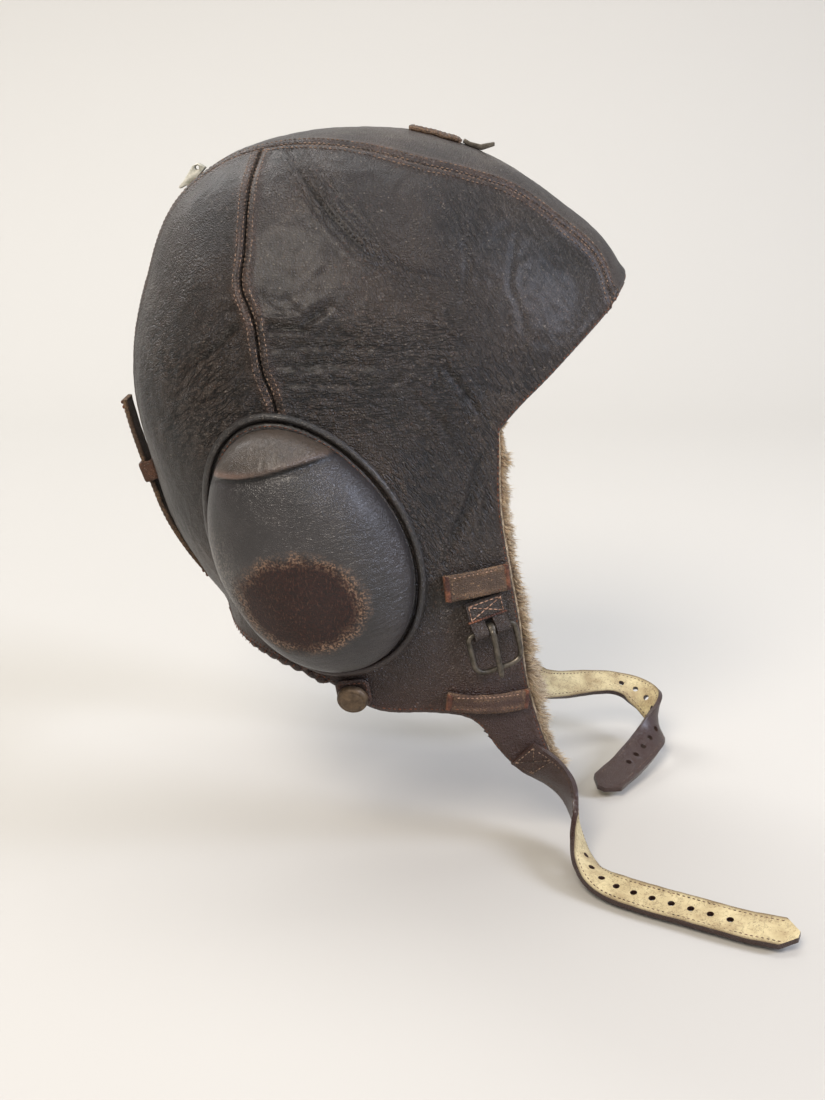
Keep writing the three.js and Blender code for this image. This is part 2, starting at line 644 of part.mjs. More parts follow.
// Strap loop down the back with its stitched block
const loopSize = { width: 14, thick: 1.8 };
const loopRows = REAR_LOOP.map(({ angle, off }) => {
  const spot = topAt(angle, LOOP_SIDE, off);
  const out = topAt(angle, LOOP_SIDE, off + 1).sub(spot);
  return { x: spot.x, y: spot.y, z: spot.z, nx: out.x, ny: 0, nz: out.z };
});
helmet.add(piece('rear_loop', ribbon(loopRows, loopSize, 14), wornLeather));
const blockSize = { deep: 7.4, width: 17, tall: 9 };
const blockAngle = 175;
const block = toSolid(new THREE.BoxGeometry(blockSize.deep, blockSize.width, blockSize.tall));
const loopSlot = new THREE.BoxGeometry(loopSize.thick + 1.9, loopSize.width + 2 * GAP + 0.2, 20);
loopSlot.translate(-0.9, 0, 0);
const blockMesh = piece('rear_loop_block', toGeometry(block.subtract(toSolid(loopSlot))), wornLeather);
blockMesh.position.copy(topAt(blockAngle, LOOP_SIDE, 0.9 + blockSize.deep / 2));
blockMesh.rotation.y = toRadians(-20);
helmet.add(blockMesh);

export default helmet;
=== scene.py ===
# %% [markdown]
# # A fleece-lined leather flying helmet
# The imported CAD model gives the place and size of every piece. This lesson makes the
# surface that the eye sees: creased leather panels with sewn seams, two padded ear cups,
# a fleece lining, steel buckles and two chin straps.

# %% Load the fixed frame
import math
import bpy
import numpy as np
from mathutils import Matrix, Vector, noise
from mathutils.kdtree import KDTree


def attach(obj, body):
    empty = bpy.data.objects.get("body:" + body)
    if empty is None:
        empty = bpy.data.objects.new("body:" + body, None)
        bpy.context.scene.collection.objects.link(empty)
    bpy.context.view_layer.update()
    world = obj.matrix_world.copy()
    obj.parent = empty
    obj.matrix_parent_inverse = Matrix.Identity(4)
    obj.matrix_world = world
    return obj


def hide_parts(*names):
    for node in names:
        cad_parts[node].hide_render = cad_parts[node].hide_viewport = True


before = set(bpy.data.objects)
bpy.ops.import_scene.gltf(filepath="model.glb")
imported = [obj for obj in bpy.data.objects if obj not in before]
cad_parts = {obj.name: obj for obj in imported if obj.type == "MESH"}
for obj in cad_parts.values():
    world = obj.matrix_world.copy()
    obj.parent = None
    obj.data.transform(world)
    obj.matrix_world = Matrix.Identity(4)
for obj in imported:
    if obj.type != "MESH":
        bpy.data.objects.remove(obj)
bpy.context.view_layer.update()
bpy.ops.object.select_all(action="DESELECT")

# %% [markdown]
# ## The form of the helmet
# All soft pieces lie on one rounded form, so it is worth writing down once. In the side
# view each direction from the ear has a reach to the midline, and a fullness says how
# square the curve from the midline to the ear is. The sizes are the CAD model's, in
# millimetres, and become metres when a mesh is made.

# %% Sizes of the form
MM = 0.001
SIDES = ((-1, "right"), (1, "left"))
EAR = np.array([-22.0, -140.0])
HALF_WIDTH = 84.0
LEATHER = 1.9
GAP = 0.3
SEAT = 0.75
FORM = [
    (-58, 180, 2.0), (-50, 190, 2.0), (-40, 162, 2.0), (-23, 144, 2.0), (10, 136, 2.0),
    (28, 147, 2.0), (35, 154.5, 2.05), (42, 157.5, 2.1), (50, 156.5, 2.2), (70, 155, 2.35),
    (100, 147.7, 2.5), (115, 138.5, 2.4), (130, 116.8, 2.3), (150, 94.6, 2.2),
    (170, 76.6, 2.1), (190, 69, 2.1), (212, 65.8, 2.1), (231, 70.4, 2.1), (262, 115, 2.0),
    (274, 140, 2.0), (288, 160, 2.0),
]
STRIP = [
    (22, 34), (35, 32), (42, 27.5), (50, 29.5), (58, 31.5), (66, 36.5), (74, 39), (85, 36),
    (93, 31), (100, 26), (112, 22), (130, 20), (160, 18), (240, 17),
]
BROW = [(128, -28), (103.3, -52), (95, -60), (80, -73), (67, -85), (57, -94)]
CHEEK = [(48.6, -103), (49.3, -131), (53, -156), (58, -182), (62, -210), (70, -237), (79, -259)]
HEM = [
    (65, -257), (57.5, -250.5), (50.5, -241), (44, -230), (36, -223.5), (22, -221.5),
    (0, -220.5), (-18, -208.5), (-34, -201), (-55, -196), (-68, -195), (-130, -193),
]
SIDE_SEAM = [
    (-46, 10), (-46, 2), (-49, -12), (-50, -34), (-51, -47), (-46, -60), (-43, -78),
    (-37, -96), (-30, -150), (-26, -230),
]


def table(rows, column, angle, closed):
    """Smooth value between the rows of a table; a closed one goes on round the circle."""
    if closed:
        before = [(row[0] - 360, *row[1:]) for row in rows[-2:]]
        after = [(row[0] + 360, *row[1:]) for row in rows[:3]]
        rows = before + rows + after
        angle = (np.asarray(angle, float) + 58) % 360 - 58
    else:
        rows = [rows[0]] + rows + [rows[-1]]
        angle = np.asarray(angle, float)
    x = np.array([row[0] for row in rows], float)
    y = np.array([row[column] for row in rows], float)
    k = np.clip(np.searchsorted(x, angle, side="right") - 1, 1, len(rows) - 3)
    span = x[k + 1] - x[k]
    t = np.clip((angle - x[k]) / span, 0, 1)
    slope_a = (y[k + 1] - y[k - 1]) / (x[k + 1] - x[k - 1]) * span
    slope_b = (y[k + 2] - y[k]) / (x[k + 2] - x[k]) * span
    return (
        (2 * t**3 - 3 * t**2 + 1) * y[k] + (t**3 - 2 * t**2 + t) * slope_a
        + (3 * t**2 - 2 * t**3) * y[k + 1] + (t**3 - t**2) * slope_b
    )


def reach(angle):
    return table(FORM, 1, angle, True)


def fullness(angle):
    return table(FORM, 2, angle, True)


def strip_half(angle):
    return table(STRIP, 1, angle, False)


def side_at(x, z, lift=0.0):
    """Distance of the form from the middle plane at x, z, raised by lift."""
    angle = np.degrees(np.arctan2(z - EAR[1], x - EAR[0]))
    power = fullness(angle)
    share = np.hypot(x - EAR[0], z - EAR[1]) / (reach(angle) + lift)
    return (HALF_WIDTH + lift) * np.maximum(0, 1 - share**power) ** (1 / power)


def on_side(x, z, side, lift=0.0):
    """Point of one side of the form, at x, z in the side view, raised by lift."""
    return np.stack([x, side * side_at(x, z, lift), z], axis=-1)


def top_at(angle, y, lift=0.0):
    """Point of the form at an angle round the ear and a distance y from the middle."""
    power = fullness(angle)
    share = (1 - np.minimum(1, np.abs(y) / (HALF_WIDTH + lift)) ** power) ** (1 / power)
    radius = (reach(angle) + lift) * share
    turn = np.radians(angle)
    return np.stack([EAR[0] + radius * np.cos(turn), y + 0 * angle,
                     EAR[1] + radius * np.sin(turn)], axis=-1)


print("crown height", round(float(top_at(np.array(90.0), np.array(0.0))[2]), 1), "mm")

# %% [markdown]
# ## A flat map of the side
# Near the crown the side view is seen edge-on, so even steps in it would stretch the
# mesh. The flat map below unrolls the form as a globe is drawn round its pole: even
# steps on the map are nearly even steps on the leather.

# %% The map and its way back


def to_map(x, z):
    angle = np.arctan2(z - EAR[1], x - EAR[0])
    degrees = np.degrees(angle)
    share = np.minimum(1, np.hypot(x - EAR[0], z - EAR[1]) / reach(degrees))
    turn = np.arcsin(share ** (fullness(degrees) / 2))
    return np.stack([turn * np.cos(angle), turn * np.sin(angle)], axis=-1)


def from_map(spot, lift=0.0):
    """Point of the right side of the form for a spot on the map."""
    angle = np.arctan2(spot[..., 1], spot[..., 0])
    degrees = np.degrees(angle)
    turn = np.hypot(spot[..., 0], spot[..., 1])
    power = fullness(degrees)
    radius = (reach(degrees) + lift) * np.sin(turn) ** (2 / power)
    y = -(HALF_WIDTH + lift) * np.maximum(0, np.cos(turn)) ** (2 / power)
    return np.stack([EAR[0] + radius * np.cos(angle), y, EAR[1] + radius * np.sin(angle)], axis=-1)


def strip_edge(angle, clearance=GAP):
    """Edge of the centre strip on the map."""
    share = (strip_half(angle) + clearance) / HALF_WIDTH
    turn = np.arccos(share ** (fullness(angle) / 2))
    return np.stack([turn * np.cos(np.radians(angle)), turn * np.sin(np.radians(angle))], axis=-1)


def spline(points, steps=24):
    """Smooth curve through points, in the side view."""
    points = np.array(points, float)
    ends = np.vstack([points[:1], points, points[-1:]])
    t = np.linspace(0, 1, steps, endpoint=False)[:, None]
    parts = []
    for a, b, c, d in zip(ends, ends[1:], ends[2:], ends[3:]):
        parts.append(0.5 * (2 * b + (c - a) * t + (2 * a - 5 * b + 4 * c - d) * t**2
                            + (3 * b - a - 3 * c + d) * t**3))
    return np.vstack(parts + [points[-1:]])


def run_of(path):
    """Length of a path up to each of its points."""
    return np.concatenate([[0], np.cumsum(np.linalg.norm(np.diff(path, axis=0), axis=1))])


def pick(where, run, values):
    """Rows of values, known at each run, at the places where they are asked for."""
    return np.stack([np.interp(where, run, column) for column in values.T], axis=-1)


def even(path, count):
    """The same path with evenly spaced points."""
    run = run_of(path)
    return pick(np.linspace(0, run[-1], count), run, path)


def beyond_strip(path):
    """True where a path in the side view lies under the centre strip."""
    angle = np.degrees(np.arctan2(path[:, 1] - EAR[1], path[:, 0] - EAR[0])) % 360
    return side_at(path[:, 0], path[:, 1]) < strip_half(angle) + GAP


def angle_of(spot):
    return math.degrees(math.atan2(spot[1] - EAR[1], spot[0] - EAR[0]))


brow_line = spline(BROW + [CHEEK[0]])[::-1]
brow_line = brow_line[: int(np.argmax(beyond_strip(brow_line)))]
seam_line = spline(SIDE_SEAM)[::-1]
seam_line = seam_line[: int(np.argmax(beyond_strip(seam_line) & (seam_line[:, 1] > -60)))]
hem_line = spline(HEM)
nape = int(np.argmax(beyond_strip(hem_line) & (hem_line[:, 0] < -40)))
foot = int(np.argmin(np.abs(hem_line[:, 0] + 27.3)))
seam_line = seam_line[seam_line[:, 1] > hem_line[foot, 1]]
seam_line = np.vstack([hem_line[foot], seam_line])
front_edge = np.vstack([spline(CHEEK)[::-1], brow_line[1:]])
brow_angle = angle_of(brow_line[-1])
seam_angle = angle_of(seam_line[-1])
nape_angle = angle_of(hem_line[nape]) % 360
print("strip edge at", round(brow_angle), round(seam_angle), round(nape_angle), "degrees")

# %% [markdown]
# ## A grid between four edges
# A leather panel has an outline of its own, so its grid is stretched between its four
# edges on the flat map, the way a cloth is pinned to a frame. The rows lie closer
# together near the edges, because the seams and the rolled edges need more detail.

# %% Helpers for grids


def close_at_edges(share, length):
    """Moves even shares so that the first and last few steps are fine ones."""
    fine = np.array([0, 0.35, 0.8, 1.4, 2.1, 3.0, 4.1]) / length
    steps = max(8, len(np.unique(np.round(share, 6))) - 1)
    inner = np.linspace(fine[-1], 1 - fine[-1], steps - 11)
    places = np.concatenate([fine, inner[1:-1], 1 - fine[::-1]])
    return np.interp(share, np.linspace(0, 1, len(places)), places)


def at_share(path, share):
    return pick(share, np.linspace(0, 1, len(path)), path)


def between_edges(u, v, left, right, bottom, top):
    """Spot on the map for u across and v up, from the four edges round it."""
    west, east = at_share(left, v), at_share(right, v)
    u_column, v_column = u[:, None], v[:, None]
    sag = at_share(bottom, u) - (1 - u_column) * bottom[0] - u_column * bottom[-1]
    rise = at_share(top, u) - (1 - u_column) * top[0] - u_column * top[-1]
    level = (1 - u_column) * west + u_column * east
    return level + (1 - v_column) ** 3 * sag + v_column**3 * rise


def map_path(path):
    return even(to_map(path[:, 0], path[:, 1]), 400)


def strip_path(first, last):
    return even(strip_edge(np.linspace(first, last, 400)), 400)


tip_line = np.vstack([hem_line[foot:0:-1], hem_line[0], front_edge[0]])
back_turn = 152.0
FRONT_EDGES = (map_path(seam_line), map_path(front_edge), map_path(tip_line),
               strip_path(seam_angle, brow_angle))
REAR_EDGES = (strip_path(nape_angle, back_turn), map_path(seam_line),
              map_path(hem_line[foot:nape + 1][::-1]), strip_path(back_turn, seam_angle))
front_spans = [from_map(edge[-1]) - from_map(edge[0]) for edge in FRONT_EDGES]
print("front panel edges", [round(float(np.linalg.norm(span))) for span in front_spans], "mm")

# %% [markdown]
# ## Creases in old leather
# Worn leather keeps three kinds of relief: broad soft hollows, bands of short wrinkles
# where it bends over the ear, and a few long sharp creases. Noise gives the first two,
# stretched along the way the wrinkles run. The long ones are drawn as lines.

# %% Relief of the leather
CREASES = [
    ([(-34, 2), (-27, -9), (-17, -21), (-4, -34), (13, -41)], 1.0, 1.2),
    ([(-31, 2.6), (-24.4, -7.6), (-14.6, -19.2), (-2, -31.6), (11, -38.6)], 0.7, 0.8),
    ([(-36.6, -1), (-29.4, -11), (-19.2, -23), (-6.4, -36), (7, -43)], 0.6, 0.8),
    ([(-27.8, 2.6), (-21.6, -6.6), (-12.2, -17.4), (-1, -28.4)], 0.45, 0.8),
    ([(13, -41), (22, -42), (28, -45)], 0.5, 0.8),
    ([(-40, -63), (-28, -61), (-17, -54)], 1.2, 1.5),
    ([(-45, -60), (-24, -64), (-2, -65)], 1.0, 1.2),
    ([(-43, -70), (-17, -68), (10, -69)], 0.8, 1.1),
    ([(-40, -82), (-13, -83), (10, -82), (25, -86)], 0.7, 1.3),
    ([(-38, -76), (-20, -75), (4, -76)], 0.6, 1.0),
    ([(-74, -80), (-61, -70), (-52, -61)], 1.2, 1.6),
    ([(-68, -76), (-58, -66), (-52, -60)], 0.8, 1.2),
    ([(-61, -57), (-52, -55)], 1.0, 1.1),
    ([(-70, -92), (-58, -82), (-47, -74)], 0.9, 1.5),
    ([(-78, -98), (-64, -90), (-46, -84)], 0.8, 1.6),
    ([(25, -75), (37, -90), (45, -102)], 0.8, 1.3),
    ([(12, -86), (26, -98), (35, -116)], 0.7, 1.5),
    ([(41, -114), (37, -130), (32, -141), (27, -155)], 1.0, 1.7),
    ([(46, -116), (43, -134), (40, -150)], 0.5, 1.3),
    ([(10, -60), (24, -62), (36, -70)], 0.4, 1.0),
    ([(55, -30), (52, -48), (58, -62)], 0.4, 1.0),
    ([(32, -24), (36, -38), (34, -52)], 0.35, 0.9),
]


def perlin(points, size, seed=0):
    """Smooth noise at each point; size is the width of its bumps in millimetres."""
    shift = Vector((7.3, 3.1, 5.7)) * seed
    return np.array([noise.noise(Vector(p) + shift) for p in points / np.array(size, float)])


def hump(value, middle, width):
    """A smooth hump of height 1 round a middle value."""
    return np.exp(-(((value - middle) / width) ** 2))


def signed_power(value, power):
    """A power that keeps the sign; one below 1 makes a round section squarer."""
    return np.sign(value) * np.abs(value) ** power


def ramp(value, low, high):
    t = np.clip((value - low) / (high - low), 0, 1)
    return t * t * (3 - 2 * t)


def from_line(x, z, line):
    """Distance in the side view from a line of points, and 0 to 1 along it."""
    best, along = np.full(len(x), 1e9), np.zeros(len(x))
    line = np.array(line, float)
    for i, (a, b) in enumerate(zip(line, line[1:])):
        d = b - a
        t = np.clip(((x - a[0]) * d[0] + (z - a[1]) * d[1]) / (d @ d), 0, 1)
        gap = np.hypot(x - a[0] - t * d[0], z - a[1] - t * d[1])
        near = gap < best
        best[near] = gap[near]
        along[near] = (i + t[near]) / (len(line) - 1)
    return best, along


def ridged(points, size, seed):
    return 1 - 3.2 * np.abs(perlin(points, size, seed))


def relief(points):
    """Height of creases and hollows at points of the form, in millimetres."""
    x, y, z = points.T
    turn = np.radians(38 * ramp(x, -48, -64) - 60 * ramp(x, 14, 44))
    along = x * np.cos(turn) + z * np.sin(turn)
    across = z * np.cos(turn) - x * np.sin(turn)
    bent = np.stack([along, across + 2.2 * perlin(points, 13, 4), y], axis=-1)
    zone = hump(z, -82, 26) * hump(x, -8, 62)
    zone = np.maximum(zone, 0.55 * np.exp(-(((x - 36) / 14) ** 2) - ((z + 118) / 40) ** 2))
    wrinkle = 0.6 * ridged(bent, (11, 3.1, 15), 1) + 0.4 * ridged(bent, (7, 1.9, 9), 2)
    height = 1.1 * perlin(points, 36, 5) + 0.4 * perlin(points, 16, 6)
    height += (0.12 + 0.62 * zone) * wrinkle + 0.14 * ridged(points, (6, 6, 6), 3)
    for line, depth, width in CREASES:
        gap, run = from_line(x, z, line)
        fade = np.sin(np.pi * np.clip(0.08 + 0.84 * run, 0, 1)) ** 0.6
        height -= 1.35 * depth * fade * hump(gap, 0, width)
        height += 0.55 * depth * fade * hump(gap, 2.1 * width, width)
    return height


def wrinkle_shares(points):
    """How strongly fine wrinkles run level, fall forwards and rise forwards at points."""
    x, z = points[:, 0], points[:, 2]
    cloud = 0.75 + 0.6 * perlin(points, 17, 8)
    level = np.exp(-(((z + 82) / 27) ** 4)) * ramp(x, -56, -44) * (1 - ramp(x, 26, 46))
    fall = ramp(x, 18, 40) * hump(z, -108, 46)
    gap, run = from_line(x, z, [(-36, 2), (-18, -20), (0, -36), (22, -52)])
    fall = np.maximum(fall, 0.45 * hump(gap, 0, 8) * (1 - ramp(run, 0.9, 1)))
    fall = np.maximum(fall, 0.5 * ramp(z, -58, -40) * ramp(x, 16, 34))
    rise = (1 - ramp(x, -54, -44)) * hump(z, -88, 38)
    beside = hump(x, 18, 13) * ramp(z, -170, -150) * (1 - ramp(z, -112, -96))
    fall = np.maximum(fall, beside)
    return [np.clip(share * cloud + 0.12, 0, 1) for share in (level, fall, rise)]


# %% [markdown]
# ## Panels of leather
# Each panel starts as a grid primitive. Its vertices are moved to the form, the edges
# that are sewn get a ridge and a groove, and the open edges are rolled in. Solidify then
# gives the leather its thickness. The distance to each kind of edge is kept as an
# attribute, so that the material can wear the leather along the seams.

# %% Helpers for meshes
surfaces = {}


def select_only(obj):
    bpy.ops.object.select_all(action="DESELECT")
    obj.select_set(True)
    bpy.context.view_layer.objects.active = obj


def apply_modifier(obj, kind, **settings):
    select_only(obj)
    modifier = obj.modifiers.new(kind.title(), kind)
    for key, value in settings.items():
        setattr(modifier, key, value)
    bpy.ops.object.modifier_apply(modifier=modifier.name)


def edit(obj, *steps):
    """Runs edit mode operators on a whole mesh."""
    select_only(obj)
    bpy.ops.object.mode_set(mode="EDIT")
    bpy.ops.mesh.select_all(action="SELECT")
    for step, settings in steps:
        step(**settings)
    bpy.ops.object.mode_set(mode="OBJECT")


SMOOTH = (bpy.ops.mesh.faces_shade_smooth, {})
OUTWARDS = (bpy.ops.mesh.normals_make_consistent, {"inside": False})


def smooth_by_angle(obj, degrees):
    select_only(obj)
    bpy.ops.object.shade_smooth_by_angle(angle=math.radians(degrees))


def corners(obj):
    flat = np.empty(len(obj.data.vertices) * 3)
    obj.data.vertices.foreach_get("co", flat)
    return flat.reshape(-1, 3)


def place_corners(obj, points_mm):
    obj.data.vertices.foreach_set("co", (points_mm * MM).ravel())
    obj.data.update()


def paint(obj, name, values):
    """Keeps one number for each vertex under a name that materials can read."""
    layer = obj.data.attributes.new(name, "FLOAT", "POINT")
    layer.data.foreach_set("value", np.asarray(values, np.float32))


def name_it(obj, name):
    """Names a piece; one that stands for a CAD node gets the node's name with an ending."""
    obj.name = name + "_look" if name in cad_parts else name
    obj.data.name = obj.name
    return obj


def new_grid(name, columns, rows):
    bpy.ops.object.select_all(action="DESELECT")
    bpy.ops.mesh.primitive_grid_add(x_subdivisions=columns, y_subdivisions=rows, size=1)
    obj = name_it(bpy.context.object, name)
    flat = corners(obj)
    return obj, flat[:, 0] + 0.5, flat[:, 1] + 0.5


def ball_piece(name, segments, rings):
    """A sphere primitive with the turn and the way down, 0 to 1, of each vertex."""
    bpy.ops.object.select_all(action="DESELECT")
    bpy.ops.mesh.primitive_uv_sphere_add(segments=segments, ring_count=rings, radius=1)
    obj = name_it(bpy.context.object, name)
    x, y, z = corners(obj).T
    return obj, np.arctan2(y, x), np.arccos(np.clip(z, -1, 1)) / math.pi


def ring_piece(name, major, minor):
    """A torus primitive with its turn, and the place on its section, each -1 to 1."""
    bpy.ops.object.select_all(action="DESELECT")
    bpy.ops.mesh.primitive_torus_add(major_segments=major, minor_segments=minor,
                                     major_radius=10, minor_radius=1)
    obj = name_it(bpy.context.object, name)
    x, y, z = corners(obj).T
    return obj, np.arctan2(y, x), np.hypot(x, y) - 10, z


def nearest(points, path):
    tree = KDTree(len(path))
    for i, spot in enumerate(path):
        tree.insert(spot, i)
    tree.balance()
    return np.array([tree.find(p)[2] for p in points])


def seam_height(gap):
    return 0.8 * hump(gap, 2.6, 1.6) - 1.4 * hump(gap, 0, 0.6)


def open_height(gap):
    return 0.55 * hump(gap, 2.6, 1.7) - 0.7 * (1 - np.minimum(gap, 1)) ** 2


def turn_out(obj, side):
    """The mirrored side's faces have to be flipped to look outwards."""
    if side > 0:
        edit(obj, (bpy.ops.mesh.flip_normals, {}))


def seat(obj, node=None, body="shell"):
    """Says which body a piece rides on and which CAD node it replaces."""
    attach(obj, body)
    if node:
        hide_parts(node)


def many_shapes(name, points, faces):
    """One mesh that holds many small closed shapes."""
    mesh = bpy.data.meshes.new(name)
    mesh.from_pydata(points.reshape(-1, 3).tolist(), [], faces)
    mesh.polygons.foreach_set("use_smooth", [True] * len(faces))
    obj = bpy.data.objects.new(name, mesh)
    bpy.context.scene.collection.objects.link(obj)
    return obj


def keep_surface(name, u, v, points):
    order = np.lexsort((np.round(u, 5), np.round(v, 5)))
    columns = len(np.unique(np.round(u, 5)))
    surfaces[name] = points[order].reshape(-1, columns, 3)


def finish_leather(obj, name, seam, rim, lift, shares, side):
    """Paints where the leather is worn and wrinkled and how deep its creases lie, for the painted
    shade in them, and gives it its thickness.
    """
    paint(obj, "seam", hump(seam, 2.4, 2.1))
    paint(obj, "rim", hump(rim, 0, 2.2))
    # crease holds how deep the leather lies in its hollows; the material paints shade there.
    paint(obj, "crease", np.clip(-lift, -1, 1.5))
    for word, share in zip(("level", "fall", "rise"), shares):
        paint(obj, word, share)
    turn_out(obj, side)
    apply_modifier(obj, "SOLIDIFY", thickness=LEATHER * MM, offset=-1)
    edit(obj, SMOOTH)
    seat(obj, name)
    print(name, len(obj.data.polygons), "faces")
    return obj


def panel(name, edges, columns, rows, side, sewn, opened):
    obj, u, v = new_grid(name, columns, rows)
    wide = np.linalg.norm(np.diff(from_map(edges[3]), axis=0), axis=1).sum()
    high = np.linalg.norm(np.diff(from_map(edges[1]), axis=0), axis=1).sum()
    spots = between_edges(close_at_edges(u, wide), close_at_edges(v, high), *edges)
    base = from_map(spots) * (1, -side, 1)
    lines = [from_map(edge) * (1, -side, 1) for edge in edges]
    seam = np.min([nearest(base, lines[i]) for i in sewn], axis=0)
    rim = np.min([nearest(base, lines[i]) for i in opened], axis=0)
    lift = relief(base) * (0.35 + 0.65 * ramp(np.minimum(seam, rim), 1, 7)) - 0.3
    lift += seam_height(seam) + open_height(rim)
    points = from_map(spots, lift) * (1, -side, 1)
    place_corners(obj, points)
    keep_surface(name, u, v, points)
    return finish_leather(obj, name, seam, rim, lift, wrinkle_shares(base), side)


# %% Front and rear panels
LEFT_EDGE, RIGHT_EDGE, BOTTOM_EDGE, TOP_EDGE = range(4)
shell_pieces = []
for side, word in SIDES:
    shell_pieces.append(panel(
        f"front_panel_{word}", FRONT_EDGES, 128, 174, side,
        (LEFT_EDGE, TOP_EDGE), (RIGHT_EDGE, BOTTOM_EDGE)))
    shell_pieces.append(panel(
        f"rear_panel_{word}", REAR_EDGES, 95, 155, side,
        (LEFT_EDGE, RIGHT_EDGE, TOP_EDGE), (BOTTOM_EDGE,)))

# %% [markdown]
# ## The centre strip
# One long strip runs from the brow over the crown to the nape. It lies on the same form,
# so its grid is laid out by angle round the ear and by distance from the middle. Its ends
# follow the brow line and the hem, which cross the strip on a slant.

# %% Where the strip begins and ends
angles = np.linspace(15, 250, 941)
mid_run = run_of(top_at(angles, 0 * angles))
brow_whole = spline(BROW + [CHEEK[0]])


def above(line, x, z):
    order = np.argsort(line[:, 0])
    return z > np.interp(x, line[order, 0], line[order, 1])


def strip_ends(across):
    """First and last angle of the leather at each place across the strip."""
    first, last = [], []
    for a in across:
        spots = top_at(angles, strip_half(angles) * a)
        inside = above(brow_whole, spots[:, 0], spots[:, 2]) | (angles > 70)
        first.append(angles[np.argmax(inside)])
        low = above(hem_line, spots[:, 0], spots[:, 2]) | (angles < 180)
        last.append(angles[len(angles) - 1 - np.argmax(low[::-1])])
    return np.array(first), np.array(last)


def strip_angle(across, v):
    """Angle for a place across the strip and a share of its length."""
    places = np.linspace(-1, 1, 41)
    first, last = strip_ends(places)
    start = np.interp(np.interp(across, places, first), angles, mid_run)
    stop = np.interp(np.interp(across, places, last), angles, mid_run)
    return np.interp(start + (stop - start) * v, mid_run, angles)


# %% Centre strip
strip, u, v = new_grid("crown_strip", 54, 260)
u, v = close_at_edges(u, 60), close_at_edges(v, 400)
across = 2 * u - 1
angle = strip_angle(across, v)
y = strip_half(angle) * across
base = top_at(angle, y)
seam = strip_half(angle) - np.abs(y)
first_angle = strip_angle(across, np.zeros(len(u)))
last_angle = strip_angle(across, np.ones(len(u)))
rim = np.minimum(np.interp(angle, angles, mid_run) - np.interp(first_angle, angles, mid_run),
                 np.interp(last_angle, angles, mid_run) - np.interp(angle, angles, mid_run))
brow_roll = 0.9 * hump(rim, 3.6, 2.4) * (angle < 90)
lift = relief(base) * 0.8 * (0.35 + 0.65 * ramp(np.minimum(seam, rim), 1, 7)) - 0.3
lift += seam_height(seam) + open_height(rim) + brow_roll
points = top_at(angle, y, lift)
place_corners(strip, points)
keep_surface("crown_strip", u, v, points)
half_shares = [0.5 * share for share in wrinkle_shares(base)]
shell_pieces.append(finish_leather(strip, "crown_strip", seam, rim, lift, half_shares, 0))

# %% [markdown]
# ## Stitches
# A seam reads as sewn only when its stitches stand up and catch the light. One stitch is
# modelled from a small sphere, and copies of it are laid along paths that run a given
# distance from an edge of a panel, on the panel's own surface.

# %% One stitch and a way to lay it
bpy.ops.mesh.primitive_uv_sphere_add(segments=5, ring_count=3, radius=0.5)
one_stitch = bpy.context.object
STITCH_SHAPE = corners(one_stitch)
STITCH_FACES = [tuple(face.vertices) for face in one_stitch.data.polygons]
bpy.data.objects.remove(one_stitch)


def unit(vectors):
    return vectors / np.maximum(np.linalg.norm(vectors, axis=-1, keepdims=True), 1e-9)


def sew(name, rows, length=1.9, width=0.6, pitch=2.5, lift=0.05, slant=0.0):
    """Stitches along rows, each a path of points with the way that its surface faces."""
    spots, frames = [], []
    for path, facing in rows:
        run = run_of(path)
        at = np.arange(pitch / 2, run[-1], pitch)
        spot = pick(at, run, path)
        out = unit(pick(at, run, facing))
        along = unit(pick(at + 0.5, run, path) - pick(at - 0.5, run, path))
        across = unit(np.cross(out, along))
        along = unit(along + slant * across)
        across = unit(np.cross(out, along))
        spots.append(spot + lift * out)
        frames.append(np.stack([along * length, across * width, out * width], axis=1))
    spots, frames = np.concatenate(spots), np.concatenate(frames)
    points = (np.einsum("vi,nij->nvj", STITCH_SHAPE, frames) + spots[:, None]) * MM
    count = len(STITCH_SHAPE)
    faces = [tuple(v + i * count for v in face) for i in range(len(spots)) for face in STITCH_FACES]
    obj = many_shapes(name, points, faces)
    seat(obj)
    print(name, len(spots), "stitches")
    return obj


def row_on(place, a, b, height):
    """A row of spots that place puts at a, b and a height, with the way it faces there."""
    row = place(a, b, height)
    return row, unit(place(a, b, height + 1) - row)


def facing_of(grid):
    """The way that each point of a surface grid faces, away from the ear."""
    normal = unit(np.cross(np.gradient(grid, axis=1), np.gradient(grid, axis=0)))
    from_ear = grid - np.array([EAR[0], 0, EAR[1]])
    return normal * np.sign(np.sum(normal * from_ear, axis=-1, keepdims=True).mean())


def row_at(name, edge, gap, first=0.0, last=1.0):
    """Path that runs gap millimetres inside an edge of a panel, and its facing."""
    grid = surfaces[name]
    facing = facing_of(grid)
    if edge in (BOTTOM_EDGE, TOP_EDGE):
        grid, facing = grid.transpose(1, 0, 2), facing.transpose(1, 0, 2)
    if edge in (RIGHT_EDGE, TOP_EDGE):
        grid, facing = grid[:, ::-1], facing[:, ::-1]
    spots, outs = [], []
    low, high = round(first * (len(grid) - 1)), round(last * (len(grid) - 1))
    for line, out in zip(grid[low:high + 1], facing[low:high + 1]):
        spots.append(pick(gap, run_of(line), line))
        outs.append(pick(gap, run_of(line), out))
    return np.array(spots), np.array(outs)


